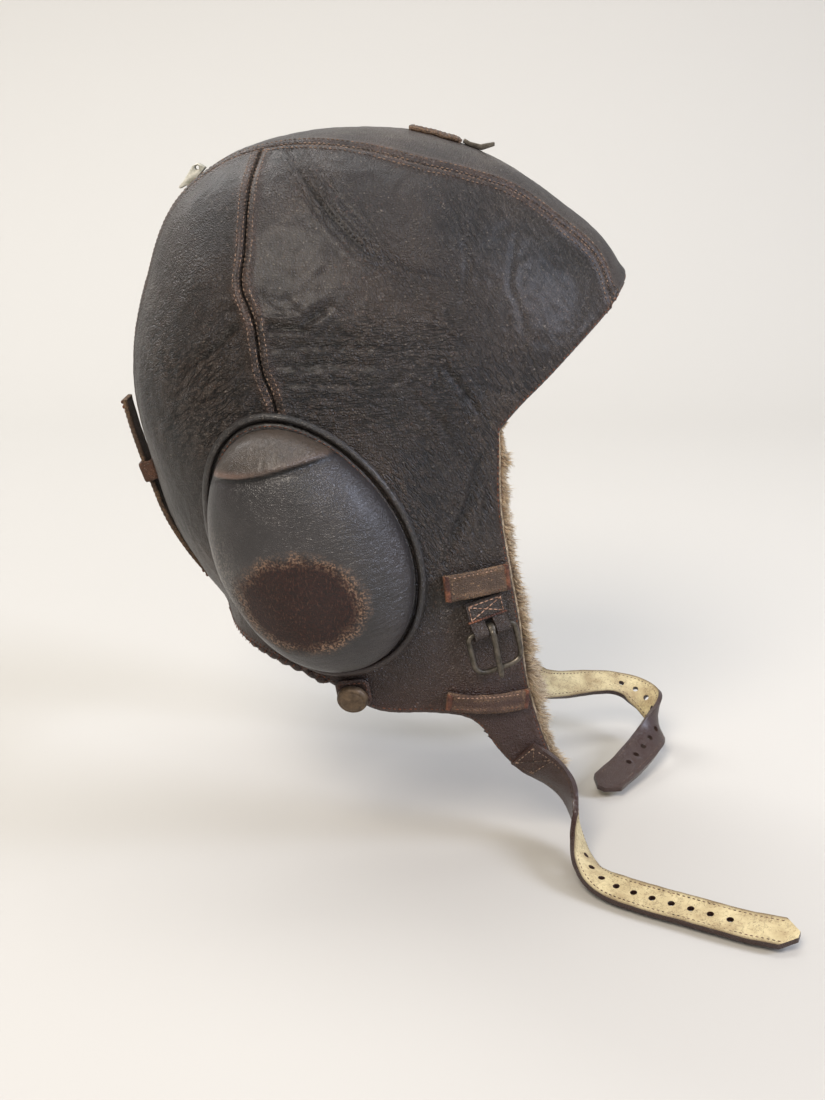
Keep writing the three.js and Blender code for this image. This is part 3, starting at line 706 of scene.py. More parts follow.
# %% Rows of stitches on the shell
seam_rows, edge_rows = [], []
for side, word in SIDES:
    front, rear = f"front_panel_{word}", f"rear_panel_{word}"
    seam_rows += [
        row_at(front, LEFT_EDGE, 1.7, 0.3), row_at(front, LEFT_EDGE, 4.2, 0.3),
        row_at(rear, RIGHT_EDGE, 1.7, 0.3), row_at(rear, RIGHT_EDGE, 4.2, 0.3),
        row_at(front, TOP_EDGE, 1.8), row_at(front, TOP_EDGE, 4.4),
        row_at(rear, TOP_EDGE, 1.8), row_at(rear, LEFT_EDGE, 1.8)]
    edge_rows += [row_at(front, RIGHT_EDGE, 1.7), row_at(front, BOTTOM_EDGE, 3.0),
                  row_at(rear, BOTTOM_EDGE, 3.0)]
for edge in (LEFT_EDGE, RIGHT_EDGE):
    seam_rows += [row_at("crown_strip", edge, 2.0), row_at("crown_strip", edge, 4.6)]
edge_rows += [row_at("crown_strip", BOTTOM_EDGE, 2.2), row_at("crown_strip", TOP_EDGE, 3.0)]
seam_thread = sew("seam_thread", seam_rows, length=1.5, width=0.55, pitch=2.0)
edge_thread = sew("edge_thread", edge_rows, length=1.6, pitch=2.2)

# %% [markdown]
# ## Fleece lining
# The lining is sheepskin with short pile. It lies inside the leather, stands a few
# millimetres out along the cheeks, and its inner face is lumpy where the pile has matted.
# Tufts along the front edge are made from one thin bent cone, copied with small changes.

# %% Lining
PILE = 5.2
chance = np.random.default_rng(7)
peeking = 0.9 * ramp(front_edge[:, 1], -98, -112) * ramp(front_edge[:, 1], -252, -240)
pile_edge = front_edge + np.stack([peeking, 0 * peeking], axis=-1)
FLEECE_FRONT = (map_path(seam_line), map_path(pile_edge), map_path(tip_line),
                strip_path(seam_angle, brow_angle))
fleece_pieces = []


def fleece(name, grid, outer, out):
    """Gives a sheet at the leather's back its thickness, and lumps on its inner face."""
    place_corners(grid, outer)
    count = len(outer)
    apply_modifier(grid, "SOLIDIFY", thickness=PILE * MM, offset=-1)
    points = corners(grid) / MM
    lumps = (1.5 * perlin(points, 7, 21) + 0.9 * perlin(points, 3.2, 22)
             + 0.5 * perlin(points, 14, 23))
    points[count:] += lumps[count:, None] * out
    place_corners(grid, points)
    edit(grid, SMOOTH)
    seat(grid, "lining")
    fleece_pieces.append(grid)
    print(name, len(grid.data.polygons), "faces")


for side, word in SIDES:
    for part, edges, columns, rows in (("front", FLEECE_FRONT, 58, 92),
                                       ("rear", REAR_EDGES, 48, 80)):
        grid, u, v = new_grid(f"fleece_{part}_{word}", columns, rows)
        spots = between_edges(u, v, *edges)
        place = from_map(spots)
        hollow = np.minimum(relief(place * (1, -side, 1)), 0)
        from_edge = np.minimum(from_line(place[:, 0], place[:, 2], front_edge)[0],
                               from_line(place[:, 0], place[:, 2], hem_line)[0])
        depth = -2.5 + 1.05 * hollow + 1.5 * (1 - ramp(from_edge, 1.2, 4))
        outer = from_map(spots, depth) * (1, -side, 1)
        turn_out(grid, side)
        fleece(grid.name, grid, outer, unit(outer - from_map(spots, -9) * (1, -side, 1)))
grid, u, v = new_grid("fleece_crown", 24, 170)
angle = strip_angle(2 * u - 1, v)
y = strip_half(angle) * (2 * u - 1)
inner_share = ramp(np.minimum(v, 1 - v), 0.004, 0.014)
depth = np.minimum(relief(top_at(angle, y)), 0) - 1.2 - 1.3 * inner_share
outer = top_at(angle, y, depth)
fleece(grid.name, grid, outer, unit(outer - top_at(angle, y, -9)))

# %% Tufts along the cheeks
TUFTS, EDGE_SPOTS = 5200, 600


def tufts(name, roots, ways, lengths, thick):
    """Thin three-sided hairs, bent halfway, each with its own length and lean."""
    count = len(roots)
    spin = chance.random((count, 3)) - 0.5
    first = unit(np.cross(ways, spin))
    second = np.cross(ways, first)
    bend = unit(ways + 0.9 * spin)
    rings = []
    for along, wide in ((0, 1.0), (0.55, 0.75)):
        for k in range(3):
            turn = 2 * math.pi * k / 3
            spoke = math.cos(turn) * first + math.sin(turn) * second
            rings.append(roots + lengths * along * ways + thick * wide * spoke)
    tip = roots + lengths * 0.55 * ways + lengths * 0.45 * bend
    points = np.stack([*rings, tip], axis=1) * MM
    pattern = [(2, 1, 0), (0, 1, 4, 3), (1, 2, 5, 4), (2, 0, 3, 5), (3, 4, 6), (4, 5, 6), (5, 3, 6)]
    faces = [tuple(c + 7 * i for c in face) for i in range(count) for face in pattern]
    obj = many_shapes(name, points, faces)
    paint(obj, "shade", np.repeat(chance.random(count), 7))
    paint(obj, "tip", np.tile([0, 0, 0, 0.6, 0.6, 0.6, 1.0], count))
    seat(obj)
    print(name, count, "tufts")
    return obj


fringe_edge = even(pile_edge[(pile_edge[:, 1] > -256) & (pile_edge[:, 1] < -100)], EDGE_SPOTS)
fringe = []
for side, word in SIDES:
    root = chance.integers(0, EDGE_SPOTS, TUFTS)
    depth = chance.uniform(1.1, 7.2, TUFTS)
    spot = fringe_edge[root] - np.stack([chance.uniform(-0.2, 0.9, TUFTS), 0 * depth], axis=-1)
    roots = on_side(*spot.T, side)
    outward = unit(roots - on_side(*spot.T, side, -9))
    roots -= outward * depth[:, None]
    lean = (1.1 * perlin(roots, 6, 24) - 0.25)[:, None] * np.array([0, 0, 1.0])
    astray = 0.9 * (chance.random((TUFTS, 3)) - 0.5)
    ways = unit(np.array([1.0, 0, 0]) + 0.3 * outward + lean + astray)
    full = (0.3 + 0.7 * ramp(spot[:, 1], -102, -118)) * (1 + 0.7 * hump(spot[:, 1], -205, 16))
    clumps = 1 + 0.5 * perlin(roots, 12, 25) + 0.8 * perlin(roots, 3.5, 26)
    longer = chance.uniform(1.8, 5.0, (TUFTS, 1)) * (full * clumps)[:, None]
    fringe.append(tufts(f"fleece_fringe_{word}", roots, ways, longer, 0.2))

# %% [markdown]
# ## Ear cups
# Each ear cup is a smooth padded dome of leather over an earphone, held by a stitched
# band and a piped welt. The dome is one sphere reshaped to the cup's outline and profile.
# Its upper part is a lid whose lip overlaps the lower part, and the lower part carries
# a bare suede patch where something was once stuck on.

# %% Outline and profile of an ear cup
CUP_X, CUP_Z, CUP_LEAN = -25.8, -147.4, math.radians(-26.4)
CUP_LONG, CUP_WIDE, CUP_TAPER = 57.3, 40.4, 0.083
CUP_RIM, CUP_FOOT, CUP_TOP = 7.6, 1.5, 26.0
LIP = [(-80, -120), (-70, -118.5), (-60, -116.5), (-50, -115), (-42, -113.3), (-32, -110.5),
       (-22, -108), (-10, -106), (2, -105)]
PATCH = (-28.5, -163.5, 23.5, 19.5)


def cup_spot(direction, inside, share, height, side):
    """Point above the form, for a direction round the cup and a share of the way out."""
    along = np.sin(direction)
    p = (CUP_LONG - inside) * along * share
    q = (CUP_WIDE - inside) * (1 - CUP_TAPER * along * share) * np.cos(direction) * share
    x = CUP_X + p * math.sin(CUP_LEAN) + q * math.cos(CUP_LEAN)
    z = CUP_Z + p * math.cos(CUP_LEAN) - q * math.sin(CUP_LEAN)
    return on_side(x, z, side, height)


def cup_profile(share_of_way):
    """Share of the radius and height, for even steps from the crown to the rim."""
    turn = np.linspace(0, math.pi / 2, 400)
    line = np.stack([46 * np.sin(turn) ** 0.56,
                     (CUP_TOP - CUP_FOOT) * np.cos(turn) ** 0.56], axis=-1)
    reach_out, height = at_share(even(line, 400), share_of_way).T
    return reach_out / 46, CUP_FOOT + height


def cup_bulge(direction, height):
    """How far the soft dome hangs out over its stitched band."""
    full = ramp(height, CUP_FOOT, 7) * (1 - 0.75 * ramp(height, 13, 25))
    ahead = np.cos(direction)
    return full * (2.0 * np.sin(direction) ** 2 + (4.4 - 1.0 * ahead) * ahead ** 2)


def lip_gap(x, z):
    """Signed distance from the lip of the lid, above it positive, and its strength."""
    gap, run = from_line(x, z, LIP)
    line = np.array(LIP, float)
    above_lip = z > np.interp(x, line[:, 0], line[:, 1])
    return np.where(above_lip, gap, -gap), 1 - ramp(run, 0.72, 1.0)


def patch_gap(x, z):
    """Roughly how far a spot lies inside the suede patch, in millimetres."""
    px, pz, wide, high = PATCH
    return (1 - np.hypot((x - px) / wide, (z - pz) / high)) * high


# %% Ear cups
cup_pieces, welt_pieces, ring_rows = [], [], []
for side, word in SIDES:
    cup, direction, down = ball_piece(f"ear_cup_{word}", 200, 120)
    polar = 2 * down
    share, height = cup_profile(np.minimum(polar, 1))
    share = np.where(polar > 1, 2 - polar, share)
    height = np.where(polar > 1, SEAT, height)
    rim = CUP_RIM - np.where(polar > 1, 0, cup_bulge(direction, height))
    flat = cup_spot(direction, rim, share, height, side)
    x, z = flat[:, 0], flat[:, 2]
    above_lip, strength = lip_gap(x, z)
    inside_patch = patch_gap(x, z)
    soft = 0.7 * perlin(flat, 24, 31) + 0.3 * perlin(flat, 11, 32)
    soft += 1.7 * strength * ramp(above_lip, -0.4, 0.4) * hump(above_lip, 0, 17)
    soft -= 1.3 * strength * hump(above_lip, -1.0, 1.2)
    soft += 0.5 * strength * hump(above_lip, 1.3, 1.0)
    soft += 0.3 * ridged(flat, (4, 30, 14), 36) * strength * ramp(above_lip, 0, 3)
    if side < 0:
        soft -= 0.45 * ramp(inside_patch + 1.5 * perlin(flat, 6, 33), -0.4, 0.6)
    top = np.where(polar > 1, 0, ramp(height, 5, 14))
    place_corners(cup, cup_spot(direction, rim, share, height + top * soft, side))
    paint(cup, "lid", ramp(above_lip, -0.4, 0.6) * (1 - ramp(x, -18, 4)))
    # Painted highlight along the fold of the lid's lip, strongest at its left end.
    lip_highlight_reach = 1 - 0.75 * ramp(x, -56, -40)
    paint(cup, "lip", strength * lip_highlight_reach * hump(above_lip, 1.2, 1.3))
    # under marks the painted shadow just below the lip of the lid.
    paint(cup, "under", strength * hump(above_lip, -0.6, 0.8))
    paint(cup, "patch", np.clip(inside_patch / 10, -1, 1) if side < 0 else 0 * x - 1)
    # band marks where painted highlights speckle the grain across the cup.
    middle = ramp(z, -118, -130) * (1 - ramp(z, -172, -186))
    paint(cup, "band", hump(x + 0.62 * z, -160, 11) * middle)
    turn_out(cup, side)
    edit(cup, SMOOTH)
    seat(cup, f"ear_cup_{word}")
    cup_pieces.append(cup)
    for part, section in (("ear_welt", 1.0), ("ear_ring", 0.62)):
        ring, direction, outward, up = ring_piece(f"{part}_{word}", 256, 14)
        inward = signed_power(-outward, section)
        up = signed_power(up, section)
        if part == "ear_welt":
            inside, height = 1.6 + 1.6 * inward, SEAT + 1.6 * (1 + up)
        else:
            inside, height = 5.55 + 1.65 * inward, SEAT + 1.3 * (1 + up)
        flat = cup_spot(direction, inside, 1, height, side)
        lumps = 0.22 * perlin(flat, 5, 34) + 0.18 * perlin(flat, 2.4, 35)
        height = height + lumps * ramp(up, -0.6, 0.4)
        place_corners(ring, cup_spot(direction, inside, 1, height, side))
        turn_out(ring, side)
        edit(ring, SMOOTH)
        seat(ring, f"{part}_{word}")
        welt_pieces.append(ring)
    turn = np.linspace(0, 2 * math.pi, 500)
    row = cup_spot(turn, 5.0, 1, SEAT + 2.6, side)
    ring_rows.append((row, unit(cup_spot(turn, 5.0, 1, SEAT + 4.6, side) - row)))
ring_thread = sew("ring_thread", ring_rows, length=1.5, width=0.5, pitch=2.0)

# %% [markdown]
# ## Keepers, snap tab and small leather patches
# A patch is a grid laid on the side of the form and given a thickness. The keepers stand
# up a little between their sewn ends, and thick bar tacks of thread hold them down.

# %% Helpers for patches


def patch_frame(x, z, tilt, side, lift):
    """Returns a function from a patch's own across and up to a point and its facing."""
    turn = math.radians(tilt)

    def place(a, b, height):
        px = x + a * math.cos(turn) - b * math.sin(turn)
        pz = z + a * math.sin(turn) + b * math.cos(turn)
        ground = 0.6 * relief(on_side(px, pz, side))
        return on_side(px, pz, side, lift - 0.4 + ground + height)

    return place


def side_patch(name, place, width, height, thick, bulge, side, node, sag=0.0, round_ends=0.0):
    obj, u, v = new_grid(name, 72, 34)
    a = (u - 0.5) * width
    b = (v - 0.5) * height
    ends = np.clip((np.abs(a) - width / 2 + round_ends) / max(round_ends, 1e-6), 0, 1)
    b = b * (1 - 0.35 * ends**2) - sag * np.cos(np.pi * (u - 0.5))
    flat = np.stack([a, b, 0 * a], axis=-1)
    b = b + 0.22 * perlin(flat, 5, 41) * (2 * v - 1)
    edge = np.minimum(width / 2 - np.abs(a), height / 2 - np.abs(v - 0.5) * height)
    rise = bulge * np.cos(np.pi * (u - 0.5)) ** 0.8 + 0.16 * perlin(flat, 2.6, 42)
    rise += 0.25 * hump(edge, 1.5, 0.9) - 0.3 * hump(edge, 0, 0.5)
    place_corners(obj, place(a, b, thick + rise))
    paint(obj, "rim", hump(edge, 0, 0.8))
    paint(obj, "seam", 0.5 * hump(edge, 2, 1))
    turn_out(obj, side)
    apply_modifier(obj, "SOLIDIFY", thickness=(thick + 0.6) * MM, offset=-1)
    edit(obj, SMOOTH)
    seat(obj, node)
    return obj


def line_row(place, height, *spots):
    """A straight row of stitches through spots on a patch, with its facing."""
    return row_on(place, *even(np.array(spots, float), 30).T, height)


# %% Keepers, snap tabs and their stitches
worn_pieces, tack_rows, pale_rows, border_rows = [], [], [], []
for side, word in SIDES:
    for name, x, z, width, height, tilt, lift, thick, bulge, sag in (
        (f"upper_keeper_{word}", 40.2, -163.5, 27, 11.5, 7, 0.75, 2.2, 0.5, 0.0),
        (f"lower_keeper_{word}", 45.5, -216, 35, 8.5, -5, 0.75, 2.0, 0.7, 0.5),
    ):
        place = patch_frame(x, z, tilt, side, lift)
        worn_pieces.append(side_patch(name, place, width, height, thick, bulge, side, name, sag))
        for end in (-1, 1):
            at, reach_up = end * (width / 2 - 1.4), height / 2 - 0.3
            tack_rows.append(line_row(place, thick + 0.35, (at, -reach_up), (at, reach_up)))
        end, top, low = width / 2 - 4, height / 2 - 1.5, 1.4 - height / 2
        pale_rows.append(line_row(place, thick + bulge, (-end, top), (end, top)))
        border_rows.append(line_row(place, thick + bulge * 0.9, (-end, low), (end, low)))
    place = patch_frame(-9.5, -210.8, 8, side, 0.5)
    name = f"snap_tab_{word}"
    worn_pieces.append(side_patch(name, place, 14, 13, 2.0, 0.1, side, name, 0.0, 3.0))
    border_rows.append(line_row(place, 2.3, (-5.6, -5), (-5.6, 5), (5.6, 5), (5.6, -5)))
tack_thread = sew("tack_thread", tack_rows, length=3.4, width=0.7, pitch=0.62, slant=3.2)
pale_thread = sew("keeper_thread", pale_rows, length=1.4, width=0.5, pitch=1.9)
border_thread = sew("border_thread", border_rows, length=1.4, width=0.5, pitch=2.0)

# %% Press-stud caps
STUD_X, STUD_Z = -9.5, -211.2
stud_caps = []
for side, word in SIDES:
    cap, around, down = ball_piece(f"snap_cap_{word}", 64, 40)
    polar = 2 * down
    turn = np.minimum(polar, 1) * math.pi / 2
    radius = np.where(polar > 1, 2 - polar, np.sin(turn) ** 0.62) * 6.4
    high = np.where(polar > 1, 0.0, 0.5 + 3.4 * np.cos(turn) ** 0.62)
    high -= np.where(polar > 1, 0, 0.35 * hump(radius, 4.7, 0.35))
    slope_x = (side_at(STUD_X + 4, STUD_Z) - side_at(STUD_X - 4, STUD_Z)) / 8
    slope_z = (side_at(STUD_X, STUD_Z + 4) - side_at(STUD_X, STUD_Z - 4)) / 8
    out = unit(np.array([-slope_x, -1.0, -slope_z]))
    level = unit(np.cross(out, (0, 0, 1.0)))
    rise = np.cross(level, out)
    stud_foot = np.array([STUD_X, -side_at(STUD_X, STUD_Z), STUD_Z]) + 2.95 * out
    spoke = np.cos(around)[:, None] * -level + np.sin(around)[:, None] * rise
    points = stud_foot + radius[:, None] * spoke + high[:, None] * out
    place_corners(cap, points * (1, -side, 1))
    turn_out(cap, side)
    edit(cap, SMOOTH)
    seat(cap, f"snap_cap_{word}")
    stud_caps.append(cap)
print("keepers, tabs and studs", len(worn_pieces) + len(stud_caps))

# %% [markdown]
# ## Bound hem at the nape
# Behind the ear cups the hem is bound with a rolled strip of leather, lumpy where it is
# overcast with thread.

# %% Rolled binding
bindings, overcast_rows = [], []
for side, word in SIDES:
    hem_part = hem_line[(hem_line[:, 0] < -19) & (hem_line[:, 0] > -92)]
    path = even(on_side(*hem_part.T, side, -0.6) + (0, 0, 0.6), 260)
    binding, turn, down = ball_piece(f"hem_binding_{word}", 18, 260)
    ahead = unit(np.gradient(path, axis=0))
    outward = unit(path - on_side(path[:, 0], path[:, 2], side, -9))
    level = np.cross(ahead, outward)
    spot, out, beside = (at_share(rows, down) for rows in (path, outward, level))
    radius = 1.9 * np.minimum(1, np.sqrt(np.clip(np.minimum(down, 1 - down) * 30, 0, 1)))
    knots = 0.75 + 0.32 * np.abs(np.sin(down * 62)) + 0.25 * perlin(spot, 4, 71)
    radius = radius * knots
    spoke = np.cos(turn)[:, None] * out + 1.1 * np.sin(turn)[:, None] * beside
    place_corners(binding, spot + radius[:, None] * spoke)
    paint(binding, "rim", 0.5 * (knots > 1.1))
    edit(binding, OUTWARDS, SMOOTH)
    seat(binding)
    bindings.append(binding)
    overcast_rows.append((path + outward * 1.9, outward))
overcast = sew("overcast_thread", overcast_rows, length=3.4, width=0.5, pitch=3.7, slant=2.4)

# %% [markdown]
# ## Buckles
# A short strap is folded round the buckle's bar and sewn to the cheek with a cross of pale
# thread. The frame is one bent wire, straight at the bar and round below, and the tongue
# is a pin with an eye round the bar. Frame and tongue each ride on their own body.

# %% The buckle's own axes
BUCKLE_FOOT = np.array([45.84422, -75.83345, -183.0])
ALONG_BAR = np.array([0.92280607, 0.29983787, 0.2419219])
UP_STRAP = np.array([-0.2300814, -0.07475798, 0.97029573])
OUT_CHEEK = np.array([0.30901699, -0.95105652, 0.0])
WIRE, WRAP = 1.1, 2.2
FRAME_WIDE, FRAME_HIGH = 10.3, 8.7


def at_buckle(bar, up, out, side):
    spot = BUCKLE_FOOT + np.multiply.outer(bar, ALONG_BAR) + np.multiply.outer(up, UP_STRAP)
    return (spot + np.multiply.outer(out, OUT_CHEEK)) * (1, -side, 1)


def finish_piece(obj, body, node, side=-1):
    turn_out(obj, side)
    edit(obj, OUTWARDS, SMOOTH)
    seat(obj, node, body)
    return obj


# %% Wrap, frame and tongue
wraps, steel_pieces, cross_rows, seam_rows = [], [], [], []
for side, word in SIDES:
    arc = np.linspace(-math.pi / 2, -2 * math.pi, 40)
    wrap_line = np.vstack([
        [(12.9, -1.75), (7, -1.75), (3, -1.85)],
        np.stack([WRAP * np.cos(arc), WRAP * np.sin(arc)], axis=-1)[:35],
        [(3.0, 0.3), (4.1, -0.3), (5.4, -0.47), (9, -0.48), (12.7, -0.48)]])
    wrap_line = even(wrap_line, 120)
    wrap, u, v = new_grid(f"buckle_strap_{word}", 34, 119)
    up, out = at_share(wrap_line, v).T
    bar = (u - 0.5) * 16
    waist = 1 - 0.03 * np.sin(np.pi * v)
    thick = 0.62
    place_corners(wrap, at_buckle(bar * waist, up, out, side))
    turn_out(wrap, side)
    in_slot = (np.abs(bar) < 2.2) & (up < np.where(v > 0.6, 5.0, 4.2)) & (v > 0.1)
    slot_faces = [bool(in_slot[list(face.vertices)].all()) for face in wrap.data.polygons]
    select_only(wrap)
    bpy.ops.object.mode_set(mode="EDIT")
    bpy.ops.mesh.select_mode(type="FACE")
    bpy.ops.mesh.select_all(action="DESELECT")
    bpy.ops.object.mode_set(mode="OBJECT")
    wrap.data.polygons.foreach_set("select", slot_faces)
    bpy.ops.object.mode_set(mode="EDIT")
    bpy.ops.mesh.delete(type="FACE")
    bpy.ops.object.mode_set(mode="OBJECT")
    apply_modifier(wrap, "SOLIDIFY", thickness=2 * thick * MM, offset=0)
    edit(wrap, OUTWARDS)
    smooth_by_angle(wrap, 40)
    seat(wrap, f"buckle_strap_{word}")
    wraps.append(wrap)

    ring, turn, across, deep = ring_piece(f"buckle_frame_{word}", 160, 16)
    corner = np.where(np.sin(turn) > 0, 9.0, 4.0)
    bar = FRAME_WIDE * signed_power(np.cos(turn), 2 / corner)
    up = FRAME_HIGH * signed_power(np.sin(turn), 2 / corner)
    bar_way = signed_power(bar / FRAME_WIDE, corner - 1) / FRAME_WIDE
    up_way = signed_power(up / FRAME_HIGH, corner - 1) / FRAME_HIGH
    wire = across * WIRE / np.hypot(bar_way, up_way)
    place_corners(ring, at_buckle(bar + bar_way * wire, up - FRAME_HIGH + up_way * wire,
                                  deep * WIRE, side))
    steel_pieces.append(finish_piece(ring, f"buckle_{word}", f"buckle_frame_{word}"))

    pin, turn, down = ball_piece(f"buckle_tongue_{word}", 20, 64)
    pin_line = even(spline([(1.0, 1.7), (-1.5, 2.35), (-4, 2.4), (-9, 2.35), (-13, 2.5),
                            (-17.4, 2.6), (-21, 2.3)], 16), 200)
    up, out = at_share(pin_line, down).T
    thickness = 1.05 * np.minimum(1, np.sqrt(np.clip(np.minimum(down, 1 - down) * 14, 0, 1)))
    place_corners(pin, at_buckle(
        1.15 * thickness * np.cos(turn) - 0.8 * down, up,
        out + thickness * np.sin(turn) * 0.95, side))
    steel_pieces.append(finish_piece(pin, f"tongue_{word}", f"buckle_tongue_{word}"))
    eye, turn, across, deep = ring_piece(f"buckle_eye_{word}", 48, 12)
    reach_out = 2.05 + 0.6 * signed_power(across, 0.7)
    place_corners(eye, at_buckle(1.5 * signed_power(deep, 0.7),
                                 reach_out * np.cos(turn), reach_out * np.sin(turn), side))
    steel_pieces.append(finish_piece(eye, f"tongue_{word}", f"buckle_tongue_{word}"))

    def on_strap(bar, up, lift):
        front = np.interp(up, wrap_line[-34:, 0], wrap_line[-34:, 1])
        return at_buckle(bar, up, front + thick + lift, side)

    def cross_line(*spots):
        return row_on(on_strap, *even(np.array(spots, float), 24).T, 0.05)

    cross_rows += [cross_line((-6.8, 6.3), (6.8, 12.0)), cross_line((6.8, 6.3), (-6.8, 12.0)),
                   cross_line((-6.9, 12.2), (-6.9, 6.1)), cross_line((6.9, 6.1), (6.9, 12.2)),
                   cross_line((-6.9, 12.3), (6.9, 12.3))]
    seam_rows.append(cross_line((-8.6, 5.6), (8.6, 5.6)))
cross_thread = sew("cross_thread", cross_rows, length=2.3, width=0.55, pitch=2.2)
bar_thread = sew("bar_thread", seam_rows, length=1.8, width=1.1, pitch=1.2, lift=0.2)

# %% [markdown]
# ## Chin straps
# Each strap is cut flat, with its point and its row of holes, and is then bent along the
# line that it hangs in. Its outer face is dark grain leather, and its inner face is pale
# split leather. A row of stitches runs along both borders.

# %% Lines that the straps hang in
STRAP_WIDTH, STRAP_THICK, STRAP_POINT = 15.0, 2.4, 5.0
STRAP_LINES = {
    "right": [
        (61, -61.5, -244, 0.1, -1, -0.35), (69, -57.1, -250.5, 0, -1, -0.45),
        (77, -53.8, -258.5, -0.5, -0.85, -0.4), (82.5, -54.8, -267, -0.9, -0.4, -0.3),
        (84.7, -62.4, -275, -1, -0.1, -0.3), (85.2, -75.6, -280, -0.9, 0.2, -0.6),
        (87.5, -88.2, -283, -0.5, 0.3, -0.9), (93.5, -98.8, -284.5, -0.1, 0.3, -1),
        (105.3, -108.5, -284.5, 0, 0.3, -1), (123.3, -119.5, -284.5, 0, 0.3, -1),
        (140.7, -130.1, -284.5, 0, 0.3, -1), (156.5, -138, -284, 0, 0.3, -1)],
    "left": [
        (61, 61.5, -244, 0.1, 1, -0.35), (69, 57.1, -250.5, 0, 1, -0.45),
        (78, 56, -256.5, -0.3, 1, -0.6), (89, 62, -260, -0.3, 0.7, -0.9),
        (104.8, 68.8, -261.5, -0.1, 0.5, -1), (117.4, 71.8, -263, 0.1, 0.4, -1),
        (127, 70, -265.5, 0.35, 0.35, -0.9), (133.5, 62.5, -268.5, 0.75, 0.15, -0.75),
        (135.7, 53, -271.8, 1, -0.1, -0.2), (134, 42, -275.3, 0.8, -0.35, 0.6),
        (128.3, 31, -278.5, 0.4, -0.35, 1), (117.2, 13.5, -281.8, 0.15, -0.25, 1),
        (104.8, -3.8, -284, 0.1, -0.2, 1)],
}
HOLE_PITCH, HOLE_RADIUS, HOLE_COUNT = 8.08, 1.45, 10
LAST_HOLE = {"right": 137.3, "left": 142.0}


def centripetal(rows, t):
    """Point of a smooth curve through the rows, for t from 0 to 1."""
    p = np.array(rows, float)
    p = np.vstack([2 * p[0] - p[1], p, 2 * p[-1] - p[-2]])
    place = np.clip(t, 0, 1) * (len(rows) - 1)
    k = np.minimum(place.astype(int), len(rows) - 2)
    w = (place - k)[:, None]
    a, b, c, d = p[k], p[k + 1], p[k + 2], p[k + 3]
    ab, bc, cd = (np.sqrt(np.linalg.norm(e, axis=1, keepdims=True)) for e in (b - a, c - b, d - c))
    bc = np.where(bc < 0.01, 1.0, bc)
    ab, cd = np.where(ab < 0.01, bc, ab), np.where(cd < 0.01, bc, cd)
    start = ((b - a) / ab - (c - a) / (ab + bc) + (c - b) / bc) * bc
    stop = ((c - b) / bc - (d - b) / (bc + cd) + (d - c) / cd) * bc
    return ((2 * w**3 - 3 * w**2 + 1) * b + (w**3 - 2 * w**2 + w) * start
            + (3 * w**2 - 2 * w**3) * c + (w**3 - w**2) * stop)


def hang(rows):
    """Returns the length of a line, and a function that bends flat points along it."""
    rows = np.array(rows, float)
    t = np.linspace(0, 1, 1500)
    line = centripetal(rows[:, :3], t)
    facing = centripetal(rows[:, 3:], t)
    ahead = unit(np.gradient(line, axis=0))
    facing = unit(facing - (facing * ahead).sum(axis=1, keepdims=True) * ahead)
    level = np.cross(facing, ahead)
    run = run_of(line)

    def bend(s, across, out):
        spot = pick(s, run, line) + np.maximum(s - run[-1], 0)[:, None] * ahead[-1]
        return spot + across[:, None] * pick(s, run, level) + out[:, None] * pick(s, run, facing)

    return run[-1], bend


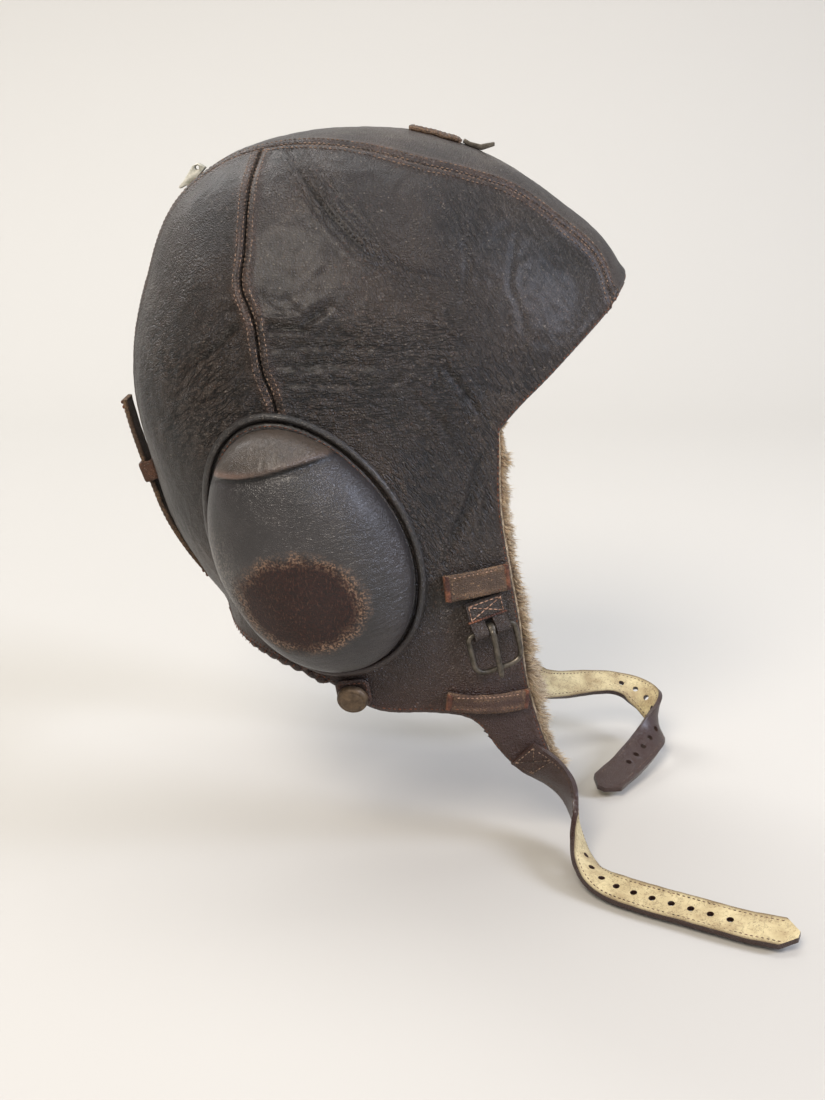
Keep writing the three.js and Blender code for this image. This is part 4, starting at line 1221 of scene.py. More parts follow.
# %% Straps
straps, strap_rows, root_rows = [], [], []
for side, word in SIDES:
    length, bend = hang(STRAP_LINES[word])
    whole = length + STRAP_POINT
    strap, u, v = new_grid(f"strap_{word}", 260, 18)
    s = u * whole
    across = (v - 0.5) * STRAP_WIDTH
    room = np.clip((whole - s) / (STRAP_POINT + 1.2), 0, 1)
    limit = 0.5 * STRAP_WIDTH * np.clip(0.24 + 0.76 * room, 0, 1)
    across = across * limit / (0.5 * STRAP_WIDTH)
    place_corners(strap, np.stack([s, across, np.full(len(s), STRAP_THICK / 2)], axis=-1))
    apply_modifier(strap, "SOLIDIFY", thickness=STRAP_THICK * MM, offset=-1)
    bpy.ops.object.select_all(action="DESELECT")
    bpy.ops.mesh.primitive_cylinder_add(vertices=20, radius=HOLE_RADIUS * MM, depth=10 * MM)
    punch = bpy.context.object
    place_corners(punch, corners(punch) / MM + (LAST_HOLE[word], 0, 0))
    apply_modifier(punch, "ARRAY", count=HOLE_COUNT, use_relative_offset=False,
                   use_constant_offset=True, constant_offset_displace=(-HOLE_PITCH * MM, 0, 0))
    apply_modifier(strap, "BOOLEAN", object=punch, operation="DIFFERENCE", solver="EXACT")
    bpy.data.objects.remove(punch)
    apply_modifier(strap, "BEVEL", width=0.35 * MM, segments=2, limit_method="ANGLE",
                   angle_limit=math.radians(50))
    flat = corners(strap) / MM
    wave = 0.35 * perlin(flat * (1, 1, 0), 17, 51) + 0.12 * perlin(flat * (1, 1, 0), 4, 52)
    s, across, out = flat.T
    root = 1 - ramp(s, 0, 9)
    out = out * (1 - 0.5 * root) - 0.8 * root
    across_now = across * (1 - 0.06 * root) + 0.3 * perlin(flat * (1, 0, 0), 9, 53)
    place_corners(strap, bend(s, across_now, out + wave))
    paint(strap, "border", hump(np.abs(across), STRAP_WIDTH / 2, 0.9))
    paint(strap, "down", s / whole)
    paint(strap, "across", across)
    inner = [0] * len(strap.data.polygons)
    for face in strap.data.polygons:
        middle = np.mean(flat[list(face.vertices), 2])
        inner[face.index] = 1 if middle < -0.55 else 0
    strap["inner"] = inner
    smooth_by_angle(strap, 45)
    seat(strap, f"strap_{word}")
    straps.append(strap)
    run = np.linspace(3, length - 1, 500)
    for border in (-5.6, 5.6):
        for face in (-1, 1):
            row, facing = row_on(bend, run, 0 * run + border, 0 * run + face * STRAP_THICK / 2)
            strap_rows.append((row, face * facing))
    for line in (((1, -5.6), (11, 5.6)), ((1, 5.6), (11, -5.6)), ((11.5, -6), (11.5, 6)),
                 ((1, -6), (1, 6))):
        s, across = even(np.array(line, float), 30).T
        root = 1 - ramp(s, 0, 9)
        high = STRAP_THICK / 2 * (1 - 0.5 * root) - 0.8 * root + 0.1
        root_rows.append(row_on(bend, s, across, high))
    print(strap.name, round(whole, 1), "mm,", len(strap.data.polygons), "faces")
strap_thread = sew("strap_thread", strap_rows, length=1.5, width=0.5, pitch=2.1, lift=-0.02)
root_thread = sew("strap_root_thread", root_rows, length=1.8, width=0.6, pitch=1.9)

# %% [markdown]
# ## Fittings on the crown and the back
# A leather tab with a steel hook sits on the front of the crown. At the back there is a
# pale lug with a round hole, and below it a strap loop in a stitched leather block, which
# holds the band of a pair of goggles.

# %% Helpers for flat metal plates


def plate(name, outline, depth, edge, spot, turn_degrees, hole=None):
    """A plate with an outline in its own x and z, as deep as depth in y, turned about y."""
    bpy.ops.object.select_all(action="DESELECT")
    bpy.ops.mesh.primitive_circle_add(vertices=len(outline), radius=1, fill_type="NGON")
    obj = name_it(bpy.context.object, name)
    place_corners(obj, np.array([(a, -depth / 2, b) for a, b in outline]))
    move = {"TRANSFORM_OT_translate": {"value": (0, depth * MM, 0)}}
    edit(obj, (bpy.ops.mesh.extrude_region_move, move),
         (bpy.ops.mesh.select_all, {"action": "SELECT"}), OUTWARDS)
    if hole:
        bpy.ops.object.select_all(action="DESELECT")
        bpy.ops.mesh.primitive_cylinder_add(vertices=32, radius=hole[2] * MM, depth=30 * MM,
                                            rotation=(math.pi / 2, 0, 0))
        drill = bpy.context.object
        bpy.ops.object.transform_apply(rotation=True)
        place_corners(drill, corners(drill) / MM + (hole[0], 0, hole[1]))
        apply_modifier(obj, "BOOLEAN", object=drill, operation="DIFFERENCE", solver="EXACT")
        bpy.data.objects.remove(drill)
    apply_modifier(obj, "BEVEL", width=edge * MM, segments=3, limit_method="ANGLE",
                   angle_limit=math.radians(25))
    turn = math.radians(turn_degrees)
    points = corners(obj) / MM
    x = points[:, 0] * math.cos(turn) + points[:, 2] * math.sin(turn)
    z = points[:, 2] * math.cos(turn) - points[:, 0] * math.sin(turn)
    place_corners(obj, np.stack([x, points[:, 1], z], axis=-1) + spot)
    smooth_by_angle(obj, 35)
    seat(obj, name)
    return obj


# %% Crown tab, hook and lug
tab, u, v = new_grid("crown_tab", 60, 48)
angle = 77 + (68.6 - 77) * u
y = (v - 0.5) * 16 * (1 - 0.10 * u**3)
edge = np.minimum(np.minimum(u, 1 - u) * 22, 8 - np.abs(y))
flat = np.stack([u * 22, y, 0 * u], axis=-1)
rise = 0.3 * hump(edge, 1.6, 0.9) - 0.35 * hump(edge, 0, 0.5) + 0.2 * perlin(flat, 3, 61)
crown_ground = 0.8 * relief(top_at(angle, y)) - 0.3
place_corners(tab, top_at(angle, y, 1.7 + crown_ground + rise))
paint(tab, "rim", hump(edge, 0, 0.9))
paint(tab, "seam", 0 * edge)
apply_modifier(tab, "SOLIDIFY", thickness=2.1 * MM, offset=-1)
finish_piece(tab, "shell", "crown_tab")
worn_pieces.append(tab)
hook_outline = [(-0.6, 0.9), (2, 0.6), (6.5, 1.4), (11.2, 4.6), (11.9, 3.2), (7.6, -0.7),
                (2.2, -1.2), (-0.6, -1)]
hook_seat = top_at(np.array(68.6), np.array(0.0), 1.4)
hook_drop = float(np.mean(crown_ground[u > 0.9])) - 0.5
hook = plate("crown_hook", hook_outline, 9.0, 0.35,
             hook_seat + (1.1, 0, hook_drop), 24)
lug_outline = [(-4.8, 0), (-5.6, 1.6), (-8.4, 2.6), (-8.2, 3.6), (-4.6, 3.6), (2.4, 4.6),
               (4.8, 3.4), (5.4, 0)]
lug_seat = top_at(np.array(112.0), np.array(-3.0), -0.35)
lug = plate("rear_lug", lug_outline, 5.0, 0.4, lug_seat, -49, hole=(2.9, 2.7, 0.9))
tab_rows = []
for line in (((69.6, -7), (69.6, 7)), ((76.2, -7), (76.2, 7)), ((69.6, -6.6), (76.2, -6.6)),
             ((69.6, 6.6), (76.2, 6.6))):
    angle, y = even(np.array(line, float), 30).T
    tab_rows.append(row_on(top_at, angle, y, 0.8 * relief(top_at(angle, y)) + 1.65))
tab_thread = sew("tab_thread", tab_rows, length=1.5, width=0.55, pitch=2.0)

# %% Goggle loop and its block
REAR_LOOP = np.array([(156.5, 7.6), (163, 6.7), (171, 5.9), (179, 4.9), (191, 4.1), (205, 3),
                      (213, 1.9), (218, 1.65)])
LOOP_SIDE, LOOP_WIDTH, LOOP_THICK = -2.0, 14.0, 1.8
loop_angle, loop_lift = REAR_LOOP.T
loop_spots = top_at(loop_angle, LOOP_SIDE, loop_lift)
loop_outs = top_at(loop_angle, LOOP_SIDE, loop_lift + 1) - loop_spots
loop_outs[:, 1] = 0
loop_length, loop_bend = hang(np.hstack([loop_spots, loop_outs]))
loop, u, v = new_grid("rear_loop", 160, 16)
s, across = u * loop_length, (v - 0.5) * LOOP_WIDTH
flat = np.stack([s, across, 0 * s], axis=-1)
edge = np.minimum(np.minimum(s, loop_length - s), LOOP_WIDTH / 2 - np.abs(across))
rise = 0.25 * hump(edge, 1.6, 0.9) - 0.3 * hump(edge, 0, 0.5) + 0.15 * perlin(flat, 4, 62)
place_corners(loop, loop_bend(s, across, LOOP_THICK / 2 + rise))
paint(loop, "rim", hump(edge, 0, 1.0))
paint(loop, "seam", 0 * edge)
apply_modifier(loop, "SOLIDIFY", thickness=LOOP_THICK * MM, offset=-1)
finish_piece(loop, "shell", "rear_loop")
worn_pieces.append(loop)
block, turn, across, deep = ring_piece("rear_loop_block", 128, 20)
out_x, out_y = signed_power(np.cos(turn), 0.3), signed_power(np.sin(turn), 0.3)
swell = signed_power(across, 0.5)
x = out_x * (2.75 + 0.85 * swell) - 0.15
y = out_y * (7.85 + 0.62 * swell)
z = 4.4 * signed_power(deep, 0.5)
lumps = 0.14 * perlin(np.stack([x, y, z], axis=-1), 2.2, 63)
x = x + lumps * out_x
tilt = math.radians(-20)
block_spot = top_at(np.array(175.0), np.array(LOOP_SIDE), 0.9 + 3.7)
place_corners(block, np.stack([x * math.cos(tilt) + z * math.sin(tilt), y,
                               z * math.cos(tilt) - x * math.sin(tilt)], axis=-1) + block_spot)
finish_piece(block, "shell", "rear_loop_block")
loop_rows = []
for border in (-5.4, 5.4):
    run = np.linspace(2, loop_length - 2, 200)
    loop_rows.append(row_on(loop_bend, run, 0 * run + border, 0 * run + LOOP_THICK / 2 + 0.15))
loop_thread = sew("loop_thread", loop_rows, length=1.6, width=0.6, pitch=2.3)
end_rows = []
for at in (1.2, 3.4, loop_length - 1.5, loop_length - 4):
    run = np.linspace(-6, 6, 40)
    end_rows.append(row_on(loop_bend, 0 * run + at, run, 0 * run + LOOP_THICK / 2 + 0.3))
end_thread = sew("loop_tack_thread", end_rows, length=2.0, width=0.9, pitch=0.95, slant=2.0)
print("fittings done")

# %% [markdown]
# ## Finishes
# Each material starts from what the real one is. Colours are sRGB hex values made linear
# by one function, and pattern sizes are real sizes in millimetres. One small function adds
# each node with its settings and its links, and a table says what each kind of node is.

# %% Helpers for materials


def linear(hex_colour):
    """Linear colour from an sRGB hex value."""
    parts = [int(hex_colour[i:i + 2], 16) / 255 for i in (1, 3, 5)]
    return [p / 12.92 if p <= 0.04045 else ((p + 0.055) / 1.055) ** 2.4 for p in parts] + [1.0]


# For each kind of node: its type, the output that is used, its inputs in order, its options.
KINDS = {
    "place": ("TexCoord", "Object", (), {}),
    "forwards": ("SeparateXYZ", "X", (0,), {}),
    "upwards": ("SeparateXYZ", "Z", (0,), {}),
    "painted": ("Attribute", "Fac", (), {}),
    "turned": ("Mapping", 0, ("Vector", "Rotation", "Scale"), {}),
    "laid": ("Mapping", 0, ("Vector", "Rotation", "Scale"), {"vector_type": "TEXTURE"}),
    "noise": ("TexNoise", "Fac", ("Vector", "Scale", "Detail", "Roughness", "Distortion"), {}),
    "drift": ("TexNoise", "Color", ("Vector", "Scale", "Detail"), {}),
    "cells": ("TexVoronoi", "Distance", ("Vector", "Scale"), {"feature": "DISTANCE_TO_EDGE"}),
    "twist": ("TexWave", "Fac", ("Vector", "Scale", "Distortion"), {"bands_direction": "DIAGONAL"}),
    "shrink": ("VectorMath", 0, (0, 1), {"operation": "MULTIPLY"}),
    "move": ("VectorMath", 0, (0, 1), {"operation": "ADD"}),
    "times": ("Math", 0, (0, 1), {"operation": "MULTIPLY"}),
    "times_plus": ("Math", 0, (0, 1, 2), {"operation": "MULTIPLY_ADD"}),
    "minus": ("Math", 0, (0, 1), {"operation": "SUBTRACT"}),
    "size": ("Math", 0, (0,), {"operation": "ABSOLUTE"}),
    "larger": ("Math", 0, (0, 1), {"operation": "MAXIMUM"}),
    "steps": ("MapRange", 0, (0, 1, 2, 3, 4), {}),
    "blend": ("Mix", 2, (0, 6, 7), {"data_type": "RGBA"}),
    "darken": ("Mix", 2, (0, 6, 7), {"data_type": "RGBA", "blend_type": "MULTIPLY"}),
    "bump": ("Bump", 0, ("Height", "Strength", "Distance"), {}),
}


def add(tree, kind, *values, **settings):
    """Adds a node of a kind in the table; each value is a number, a hex colour or a link."""
    node_type, output, names, options = KINDS[kind]
    node = tree.nodes.new("ShaderNode" + node_type)
    for name, value in (options | settings).items():
        setattr(node, name, value)
    for name, value in zip(names, values):
        if isinstance(value, bpy.types.NodeSocket):
            tree.links.new(value, node.inputs[name])
        else:
            node.inputs[name].default_value = linear(value) if isinstance(value, str) else value
    return node.outputs[output]


def new_material(name, **shader_values):
    """A material with its principled shader, and Object coordinates in metres."""
    material = bpy.data.materials.new(name)
    material.use_nodes = True
    tree = material.node_tree
    shader = tree.nodes["Principled BSDF"]
    for socket, value in shader_values.items():
        shader.inputs[socket.replace("_", " ")].default_value = value
    place = add(tree, "place")
    return material, tree, shader, place


def grain_of(tree, place, size):
    """Pebbled grain: rounded cells with thin valleys between them, slightly bent."""
    bend = add(tree, "drift", place, 1 / (5 * MM), 2.0)
    shift = add(tree, "shrink", bend, (2.2 * MM,) * 3)
    spot = add(tree, "move", place, shift)
    cells = add(tree, "cells", spot, 1 / (size * MM))
    return add(tree, "steps", cells, 0.02, 0.32), spot


# %% [markdown]
# ## Leathers
# The shell is chrome-tanned goatskin: dyed, pebbled grain of about a millimetre, with fine
# drying wrinkles. Dye is rubbed off the ridges of the seams and edges, where a red tan
# shows. Shade is painted into the grain pits, wrinkle valleys and deep creases, and small
# highlights are painted on the tops of the grain. The ear cups are smooth-plated leather of
# the same dye, and the keepers are split leather, dry and scuffed through to tan.

# %% Leather of the shell


def wrinkle_of(tree, place, share, degrees, length, width):
    """0 in sharp valleys that run at an angle of the side view, 1 between them."""
    laid = add(tree, "laid", place, (0, -math.radians(degrees), 0),
               (length * MM, length * MM, width * MM))
    line = add(tree, "noise", laid, 1.0, 2.5, 0.5, 0.25)
    slope = add(tree, "size", add(tree, "minus", line, 0.5))
    valley = add(tree, "steps", slope, 0.0, 0.06, 1.0, 0.0)
    return add(tree, "times", valley, add(tree, "painted", attribute_name=share))


def leather(name, dark, lit, worn, size, depth, rough, wear, specks, wrinkles=1.0, coat=0.12):
    material, tree, shader, place = new_material(
        name, Coat_Weight=coat, Coat_Roughness=0.32, Specular_IOR_Level=0.5)
    pebble, spot = grain_of(tree, place, size)
    fine = add(tree, "noise", place, 1 / (0.8 * MM), 4.0, 0.6)
    folds = add(tree, "noise", spot, 1 / (4.2 * MM), 6.0, 0.66)
    clouds = add(tree, "noise", place, 1 / (34 * MM), 3.0)
    crack = add(tree, "steps", add(tree, "size", add(tree, "minus", folds, 0.5)), 0.0, 0.05)
    valleys = add(tree, "larger", wrinkle_of(tree, place, "level", 1, 7.0, 1.5),
                  wrinkle_of(tree, place, "fall", -56, 8.0, 1.6))
    valleys = add(tree, "larger", valleys, wrinkle_of(tree, place, "rise", 40, 7.0, 1.7))
    height = add(tree, "times_plus", pebble, 1.0, add(tree, "times", fine, 0.35))
    height = add(tree, "times_plus", crack, 0.2 * wrinkles, height)
    height = add(tree, "times_plus", folds, 0.35 * wrinkles, height)
    height = add(tree, "times_plus", valleys, -3.8, height)
    tree.links.new(add(tree, "bump", height, 1.0, depth * MM), shader.inputs["Normal"])
    tone = add(tree, "blend", add(tree, "steps", clouds, 0.36, 0.66), dark, lit)
    # Painted shade: the colour is darkened in the grain pits, the cracks and the wrinkle valleys,
    # and more where the creases lie deep.
    pit_shade = add(tree, "times", add(tree, "steps", crack, 0, 1, 0.75, 1.0),
               add(tree, "steps", pebble, 0, 0.8, 0.6, 1.0))
    pit_shade = add(tree, "times", pit_shade, add(tree, "steps", valleys, 0.1, 0.85, 1.0, 0.2))
    deep = add(tree, "steps", add(tree, "painted", attribute_name="crease"), 0.25, 1.3, 1.0, 0.45)
    tone = add(tree, "darken", 1.0, tone, add(tree, "times", pit_shade, deep))
    # Painted highlight: small grey specks on the tops of the pebbled grain.
    flat = add(tree, "turned", place, (0, 0, 0), (0.5, 0.5, 1.0))
    grain_highlight = add(tree, "steps", add(tree, "noise", flat, 1 / (0.9 * MM), 2.0), 0.6, 0.7, 0.0, 0.45)
    tone = add(tree, "blend", add(tree, "times", grain_highlight, pebble), tone, "#857b70")
    low = add(tree, "upwards", place)
    tone = add(tree, "blend", add(tree, "steps", low, -0.175, -0.225, 0.0, 0.7), tone, "#35190f")
    edge = add(tree, "times_plus", add(tree, "painted", attribute_name="rim"), 0.8,
               add(tree, "painted", attribute_name="seam"))
    worn_spots = add(tree, "noise", place, 1 / (9 * MM), 3.0)
    broken = add(tree, "times", add(tree, "steps", fine, 0.4, 0.6),
                 add(tree, "steps", worn_spots, 0.38, 0.62, 0.25, 1.0))
    rubbed = add(tree, "times", add(tree, "times", edge, broken), wear)
    tone = add(tree, "blend", rubbed, tone, worn)
    fleck = add(tree, "noise", place, 1 / (1.3 * MM), 2.0)
    fleck = add(tree, "steps", fleck, 0.64, 0.72, 0.0, specks)
    flecked = add(tree, "noise", place, 1 / (22 * MM), 3.0)
    fleck = add(tree, "times", fleck, add(tree, "steps", flecked, 0.45, 0.62))
    tree.links.new(add(tree, "blend", fleck, tone, worn), shader.inputs["Base Color"])
    gloss = add(tree, "steps", clouds, 0.34, 0.68, rough + 0.08, rough - 0.08)
    gloss = add(tree, "times_plus", rubbed, 0.25, gloss)
    tree.links.new(add(tree, "times_plus", fine, 0.12, gloss), shader.inputs["Roughness"])
    return material


goatskin = leather("aged_goatskin", "#231a15", "#382c23", "#67493a", 1.15, 0.4, 0.42, 0.45, 0.4)
split_leather = leather("scuffed_split_leather", "#3a2a20", "#574334", "#927457", 0.9, 0.3, 0.68,
                        0.9, 0.9, 0.7, 0.0)
block_leather = leather("tan_stitched_leather", "#4a2f20", "#6b452d", "#9a6b45", 0.9, 0.3, 0.62,
                        0.9, 0.8, 0.7, 0.0)
wrap_leather = leather("folded_dark_leather", "#1c1512", "#2f241e", "#6a452f", 0.9, 0.26, 0.5,
                       0.6, 0.5, 0.8, 0.08)
welt_leather = leather("piped_welt_leather", "#17130f", "#2a231f", "#5c4334", 0.8, 0.16, 0.4,
                       0.5, 0.35, 0.5, 0.2)

# %% Leather of the ear cups
cup_leather, tree, shader, place = new_material(
    "smooth_plated_leather", Coat_Weight=0.1, Coat_Roughness=0.25)
pebble, spot = grain_of(tree, place, 0.75)
fine = add(tree, "noise", place, 1 / (0.7 * MM), 4.0, 0.6)
clouds = add(tree, "noise", place, 1 / (26 * MM), 4.0)
blots = add(tree, "noise", place, 1 / (7 * MM), 6.0, 0.72)
ragged = add(tree, "minus", add(tree, "painted", attribute_name="patch"), 0.2)
ragged = add(tree, "times_plus", blots, 0.7, ragged)
inside_patch = add(tree, "steps", ragged, 0.08, 0.3)
margin = add(tree, "times", add(tree, "steps", ragged, -0.22, 0.12),
             add(tree, "steps", ragged, 0.2, 0.5, 1.0, 0.0))
lower = add(tree, "blend", add(tree, "steps", clouds, 0.35, 0.66), "#1f1d1d", "#2f2b2b")
upper = add(tree, "blend", add(tree, "steps", clouds, 0.35, 0.66), "#332b24", "#443a31")
streaks = add(tree, "turned", place, (0, 0, 0), (1.0, 1.0, 0.12))
streak = add(tree, "steps", add(tree, "noise", streaks, 1 / (1.6 * MM), 3.0), 0.4, 0.62, 0.8, 1.1)
upper = add(tree, "darken", 1.0, upper, streak)
tone = add(tree, "blend", add(tree, "painted", attribute_name="lid"), lower, upper)
# Painted highlight: pinkish tan along the fold of the lid's lip.
lip = add(tree, "times", add(tree, "painted", attribute_name="lip"), 0.6)
tone = add(tree, "blend", lip, tone, "#7b6257")
# Painted shadow: a near-black line under the lip of the lid.
under = add(tree, "times", add(tree, "painted", attribute_name="under"), 0.95)
tone = add(tree, "blend", under, tone, "#070605")
# Painted highlight: pale grey specks on the grain in a band across the cup.
band_grain_highlight = add(tree, "steps", add(tree, "noise", place, 1 / (1.0 * MM), 2.0), 0.5, 0.6)
band_grain_highlight = add(tree, "times", add(tree, "painted", attribute_name="band"), band_grain_highlight)
tone = add(tree, "blend", add(tree, "times", band_grain_highlight, 0.6), tone, "#8b8178")
suede = add(tree, "blend", add(tree, "steps", fine, 0.36, 0.64), "#0c0301", "#2b0f06")
tone = add(tree, "blend", inside_patch, tone, suede)
rubs = add(tree, "noise", place, 1 / (0.9 * MM), 3.0, 0.6)
rubs = add(tree, "steps", rubs, 0.48, 0.6, 0.05, 0.95)
rubbed = add(tree, "noise", place, 1 / (8 * MM), 2.0)
rubs = add(tree, "times", rubs, add(tree, "steps", rubbed, 0.38, 0.58, 0.3, 1.0))
tone = add(tree, "blend", add(tree, "times", margin, rubs), tone, "#7d6350")
nap = add(tree, "turned", place, (0, math.radians(30), 0), (1.0, 1.0, 0.25))
nap = add(tree, "steps", add(tree, "noise", nap, 1 / (0.55 * MM), 3.0), 0.56, 0.7, 0.0, 0.3)
tone = add(tree, "blend", add(tree, "times", nap, inside_patch), tone, "#6b4a38")
tree.links.new(tone, shader.inputs["Base Color"])
gloss = add(tree, "steps", clouds, 0.34, 0.68, 0.42, 0.3)
gloss = add(tree, "times_plus", add(tree, "larger", margin, inside_patch), 0.55, gloss)
tree.links.new(gloss, shader.inputs["Roughness"])
scuffs = add(tree, "noise", streaks, 1 / (2.2 * MM), 5.0, 0.7)
laid = add(tree, "laid", place, (0, math.radians(-14), 0), (6 * MM, 6 * MM, 1.7 * MM))
ripple = add(tree, "noise", laid, 1.0, 4.0, 0.6)
ahead = add(tree, "forwards", place)
ripple = add(tree, "times", ripple, add(tree, "steps", ahead, -0.045, 0.005, 0.6, 2.6))
height = add(tree, "times", add(tree, "noise", spot, 1 / (3 * MM), 5.0), 0.5)
height = add(tree, "times_plus", pebble, 0.35, height)
height = add(tree, "times_plus", ripple, 1.1, height)
height = add(tree, "times_plus", add(tree, "times", fine, inside_patch), 1.3, height)
scuffs = add(tree, "times", scuffs, add(tree, "painted", attribute_name="lid"))
height = add(tree, "times_plus", scuffs, 1.2, height)
tree.links.new(add(tree, "bump", height, 1.0, 0.3 * MM), shader.inputs["Normal"])

# %% [markdown]
# ## Strap leather
# The straps are two layers: dark grain outside and pale split leather inside, which is
# worn and stained by hands, darker along the borders.

# %% Strap materials
pale_split, tree, shader, place = new_material("pale_strap_split", Roughness=0.8)
fine = add(tree, "noise", place, 1 / (1.1 * MM), 5.0, 0.65)
blot = add(tree, "noise", place, 1 / (9 * MM), 5.0, 0.6)
tone = add(tree, "blend", add(tree, "steps", blot, 0.35, 0.66), "#c4b58c", "#9d8a66")
tone = add(tree, "blend", add(tree, "steps", fine, 0.58, 0.68, 0.0, 0.75), tone, "#5f4628")
crackle = add(tree, "noise", place, 1 / (5.5 * MM), 6.0, 0.7)
crackle = add(tree, "size", add(tree, "minus", crackle, 0.5))
crack = add(tree, "steps", crackle, 0.0, 0.012, 1.0, 0.0)
tone = add(tree, "blend", add(tree, "times", crack, 0.7), tone, "#2f2114")
border = add(tree, "times", add(tree, "painted", attribute_name="border"), 0.8)
tone = add(tree, "blend", border, tone, "#4a3722")
tree.links.new(tone, shader.inputs["Base Color"])
tree.links.new(add(tree, "bump", add(tree, "times_plus", fine, 0.6, blot), 1.0, 0.3 * MM),
               shader.inputs["Normal"])
strap_grain = leather("dark_strap_grain", "#17120f", "#2a211c", "#6a4a36", 0.9, 0.2, 0.32, 0.5,
                      0.25, 0.8, 0.3)

# %% [markdown]
# ## Fleece, thread and metal
# The fleece is undyed sheepskin, cream at the tips and brown near the skin. Thread is
# waxed linen, with its twist as fine slanted lines. The buckles are blackened steel that
# has worn grey on its rounds, and the lug is a dull pale casting.

# %% Fleece
wool, tree, shader, place = new_material("matted_sheepskin", Roughness=0.95, Sheen_Weight=0.35,
                                         Sheen_Roughness=0.5)
curl = add(tree, "noise", place, 1 / (2.6 * MM), 6.0, 0.7)
tree.links.new(add(tree, "blend", add(tree, "steps", curl, 0.32, 0.66), "#6d543b", "#c9b493"),
               shader.inputs["Base Color"])
pile = add(tree, "noise", place, 1 / (0.7 * MM), 4.0, 0.7)
height = add(tree, "times_plus", pile, 0.4, curl)
tree.links.new(add(tree, "bump", height, 1.0, 1.3 * MM), shader.inputs["Normal"])
hair, tree, shader, place = new_material("sheepskin_hair", Roughness=0.7, Sheen_Weight=0.2)
root = add(tree, "blend", add(tree, "painted", attribute_name="shade"), "#5c4330", "#8d7152")
tip = add(tree, "blend", add(tree, "painted", attribute_name="shade"), "#a98f6d", "#d9c8a8")
tree.links.new(add(tree, "blend", add(tree, "painted", attribute_name="tip"), root, tip),
               shader.inputs["Base Color"])

# %% Thread


def thread(name, dark, lit):
    material, tree, shader, place = new_material(name, Roughness=0.75)
    dirt = add(tree, "noise", place, 1 / (3.2 * MM), 3.0)
    tree.links.new(add(tree, "blend", add(tree, "steps", dirt, 0.38, 0.62), dark, lit),
                   shader.inputs["Base Color"])
    # A real twist is some half a millimetre, which wouldn't show, so it is drawn coarser.
    twist = add(tree, "twist", place, 1 / (2.4 * MM), 1.0)
    tree.links.new(add(tree, "bump", twist, 1.0, 0.12 * MM), shader.inputs["Normal"])
    return material


tan_linen = thread("tan_linen_thread", "#32271f", "#826a58")
brown_linen = thread("red_brown_linen_thread", "#3a1f17", "#71452f")
pale_linen = thread("pale_linen_thread", "#6f5140", "#b08d77")

# %% Metal


def metal(name, dark, lit, rough, metallic):
    material, tree, shader, place = new_material(name, Metallic=metallic)
    patches = add(tree, "noise", place, 1 / (3.5 * MM), 5.0, 0.65)
    scratch = add(tree, "noise", place, 1 / (0.6 * MM), 3.0)
    tree.links.new(add(tree, "blend", add(tree, "steps", patches, 0.36, 0.64), dark, lit),
                   shader.inputs["Base Color"])
    tree.links.new(add(tree, "steps", patches, 0.3, 0.7, rough + 0.14, rough - 0.06),
                   shader.inputs["Roughness"])
    tree.links.new(add(tree, "bump", add(tree, "times_plus", scratch, 0.4, patches), 1.0,
                       0.12 * MM), shader.inputs["Normal"])
    return material


black_steel = metal("blackened_steel", "#332f29", "#655e54", 0.4, 0.8)
stud_brass = metal("painted_stud_brass", "#3a2d20", "#65523d", 0.5, 0.35)
pale_casting = metal("dull_pale_casting", "#8f8d80", "#cfccc0", 0.5, 0.45)

# %% Give each piece its material
finishes = (
    (goatskin, shell_pieces), (cup_leather, cup_pieces), (welt_leather, welt_pieces),
    (split_leather, worn_pieces), (wrap_leather, wraps), (block_leather, [block]),
    (wool, fleece_pieces), (hair, fringe), (black_steel, steel_pieces + [hook]),
    (stud_brass, stud_caps), (pale_casting, [lug]), (strap_grain, straps),
    (goatskin, bindings), (tan_linen, [seam_thread, strap_thread, tab_thread, root_thread]),
    (brown_linen, [edge_thread, tack_thread, bar_thread, ring_thread, end_thread, loop_thread,
                   border_thread, overcast]),
    (pale_linen, [pale_thread, cross_thread]),
)
for material, pieces in finishes:
    for obj in pieces:
        obj.data.materials.clear()
        obj.data.materials.append(material)
for obj in worn_pieces:
    if obj.name.startswith("snap_tab"):
        obj.data.materials[0] = wrap_leather
for strap in straps:
    strap.data.materials.append(pale_split)
    strap.data.polygons.foreach_set("material_index", list(strap["inner"]))
    del strap["inner"]
print("materials", len(bpy.data.materials))

# %% [markdown]
# ## Floor, light and camera
# A pale floor lies under the hanging straps. A broad lamp over the viewer's left shoulder
# models the folds, a second one on the right gives the cool gleam along the brow, and a
# weak one fills the shadows. The camera looks at the wearer's right side, a little down.

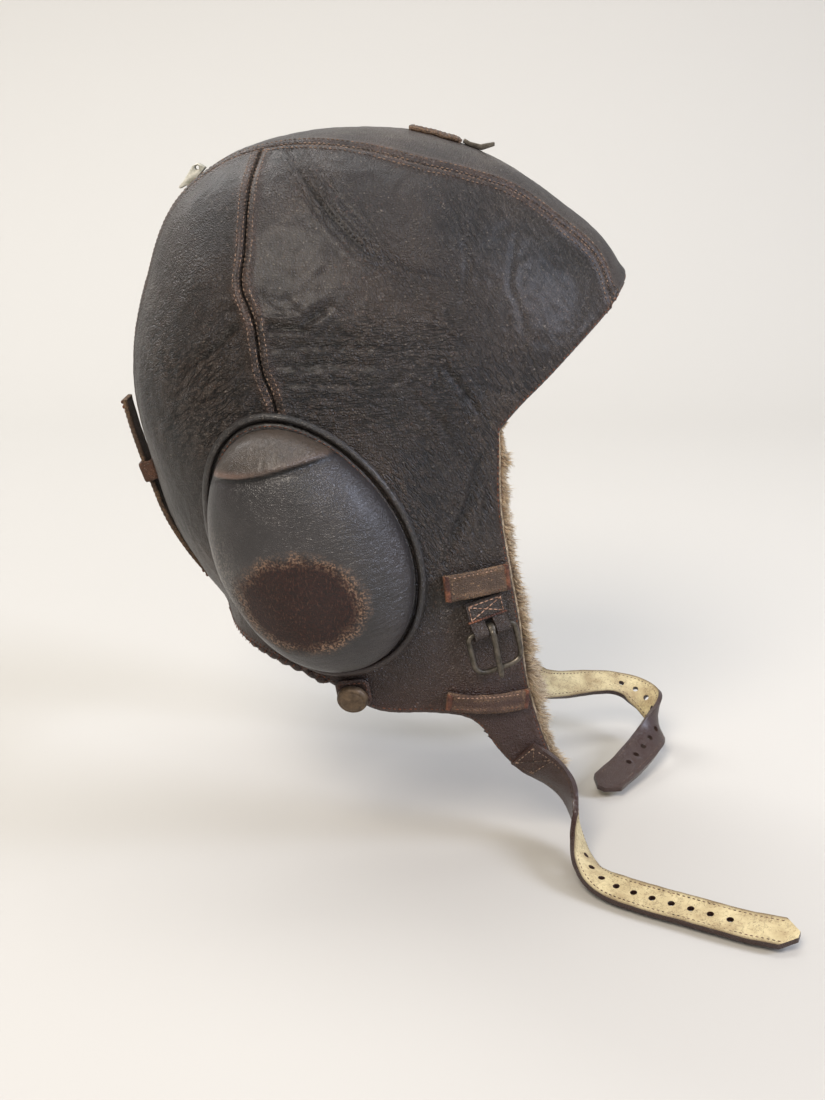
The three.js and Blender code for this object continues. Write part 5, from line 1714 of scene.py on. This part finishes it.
# %% Floor
bpy.ops.object.select_all(action="DESELECT")
bpy.ops.mesh.primitive_grid_add(x_subdivisions=2, y_subdivisions=240, size=1)
floor = name_it(bpy.context.object, "studio_floor")
flat = corners(floor)
reach_back = (flat[:, 1] + 0.5) * 12000 - 9000
bend_up = np.clip((reach_back - 900) / 900, 0, 1) * math.pi / 2
behind = np.minimum(reach_back, 900) + 573 * np.sin(bend_up)
rise = 573 * (1 - np.cos(bend_up)) + np.maximum(reach_back - 1800, 0)
place_corners(floor, np.stack([flat[:, 0] * 16000, behind, rise - 290], axis=-1))
edit(floor, SMOOTH)
plaster, tree, shader, place = new_material("pale_plaster", Roughness=0.9)
shader.inputs["Base Color"].default_value = linear("#b6b3ad")
floor.data.materials.append(plaster)

# %% Lamps
# Each lamp has its place and its aim in metres, its side in metres, its watts and its tint.
for name, spot, aim, size, power, tint in (
    ("key_softbox", (-0.55, -1.5, 1.35), (0, 0, -0.12), 0.85, 50, "#fff4e6"),
    ("brow_softbox", (1.5, -0.55, 0.75), (0, 0, -0.1), 0.7, 29, "#dfe8ff"),
    ("fill_softbox", (0.45, -1.9, 0.0), (0, 0, -0.15), 1.3, 6, "#ffffff"),
    ("back_softbox", (-1.1, 1.3, 1.3), (0, 0, -0.1), 1.1, 30, "#ffffff"),
    ("backdrop_softbox", (0, 0.5, 1.6), (0, 1.5, 0.2), 1.4, 22, "#ffffff"),
):
    bpy.ops.object.light_add(type="AREA", location=spot)
    lamp = bpy.context.object
    lamp.name = name
    lamp.data.energy = power
    lamp.data.size = size
    lamp.data.color = linear(tint)[:3]
    lamp.rotation_euler = (Vector(aim) - Vector(spot)).to_track_quat("-Z", "Y").to_euler()
world = bpy.data.worlds.new("studio")
world.use_nodes = True
world.node_tree.nodes["Background"].inputs["Color"].default_value = linear("#dfe3ea")
world.node_tree.nodes["Background"].inputs["Strength"].default_value = 0.35
bpy.context.scene.world = world
bpy.context.scene.view_settings.view_transform = "Standard"

# %% Camera at the photograph's angle
CAMERA_SPOT, DOWNWARDS = (0.0144, -0.64405, 0.013), 16
FOCAL_PIXELS, FRAME_PIXELS, SENSOR_MM = 1495, 1100, 36
bpy.ops.object.camera_add(location=CAMERA_SPOT, rotation=(math.radians(90 - DOWNWARDS), 0, 0))
camera = bpy.context.object
camera.data.sensor_fit = "AUTO"
camera.data.sensor_width = SENSOR_MM
camera.data.lens = FOCAL_PIXELS / FRAME_PIXELS * SENSOR_MM
bpy.context.scene.camera = camera

# %% Finish
bpy.ops.object.select_all(action="DESELECT")
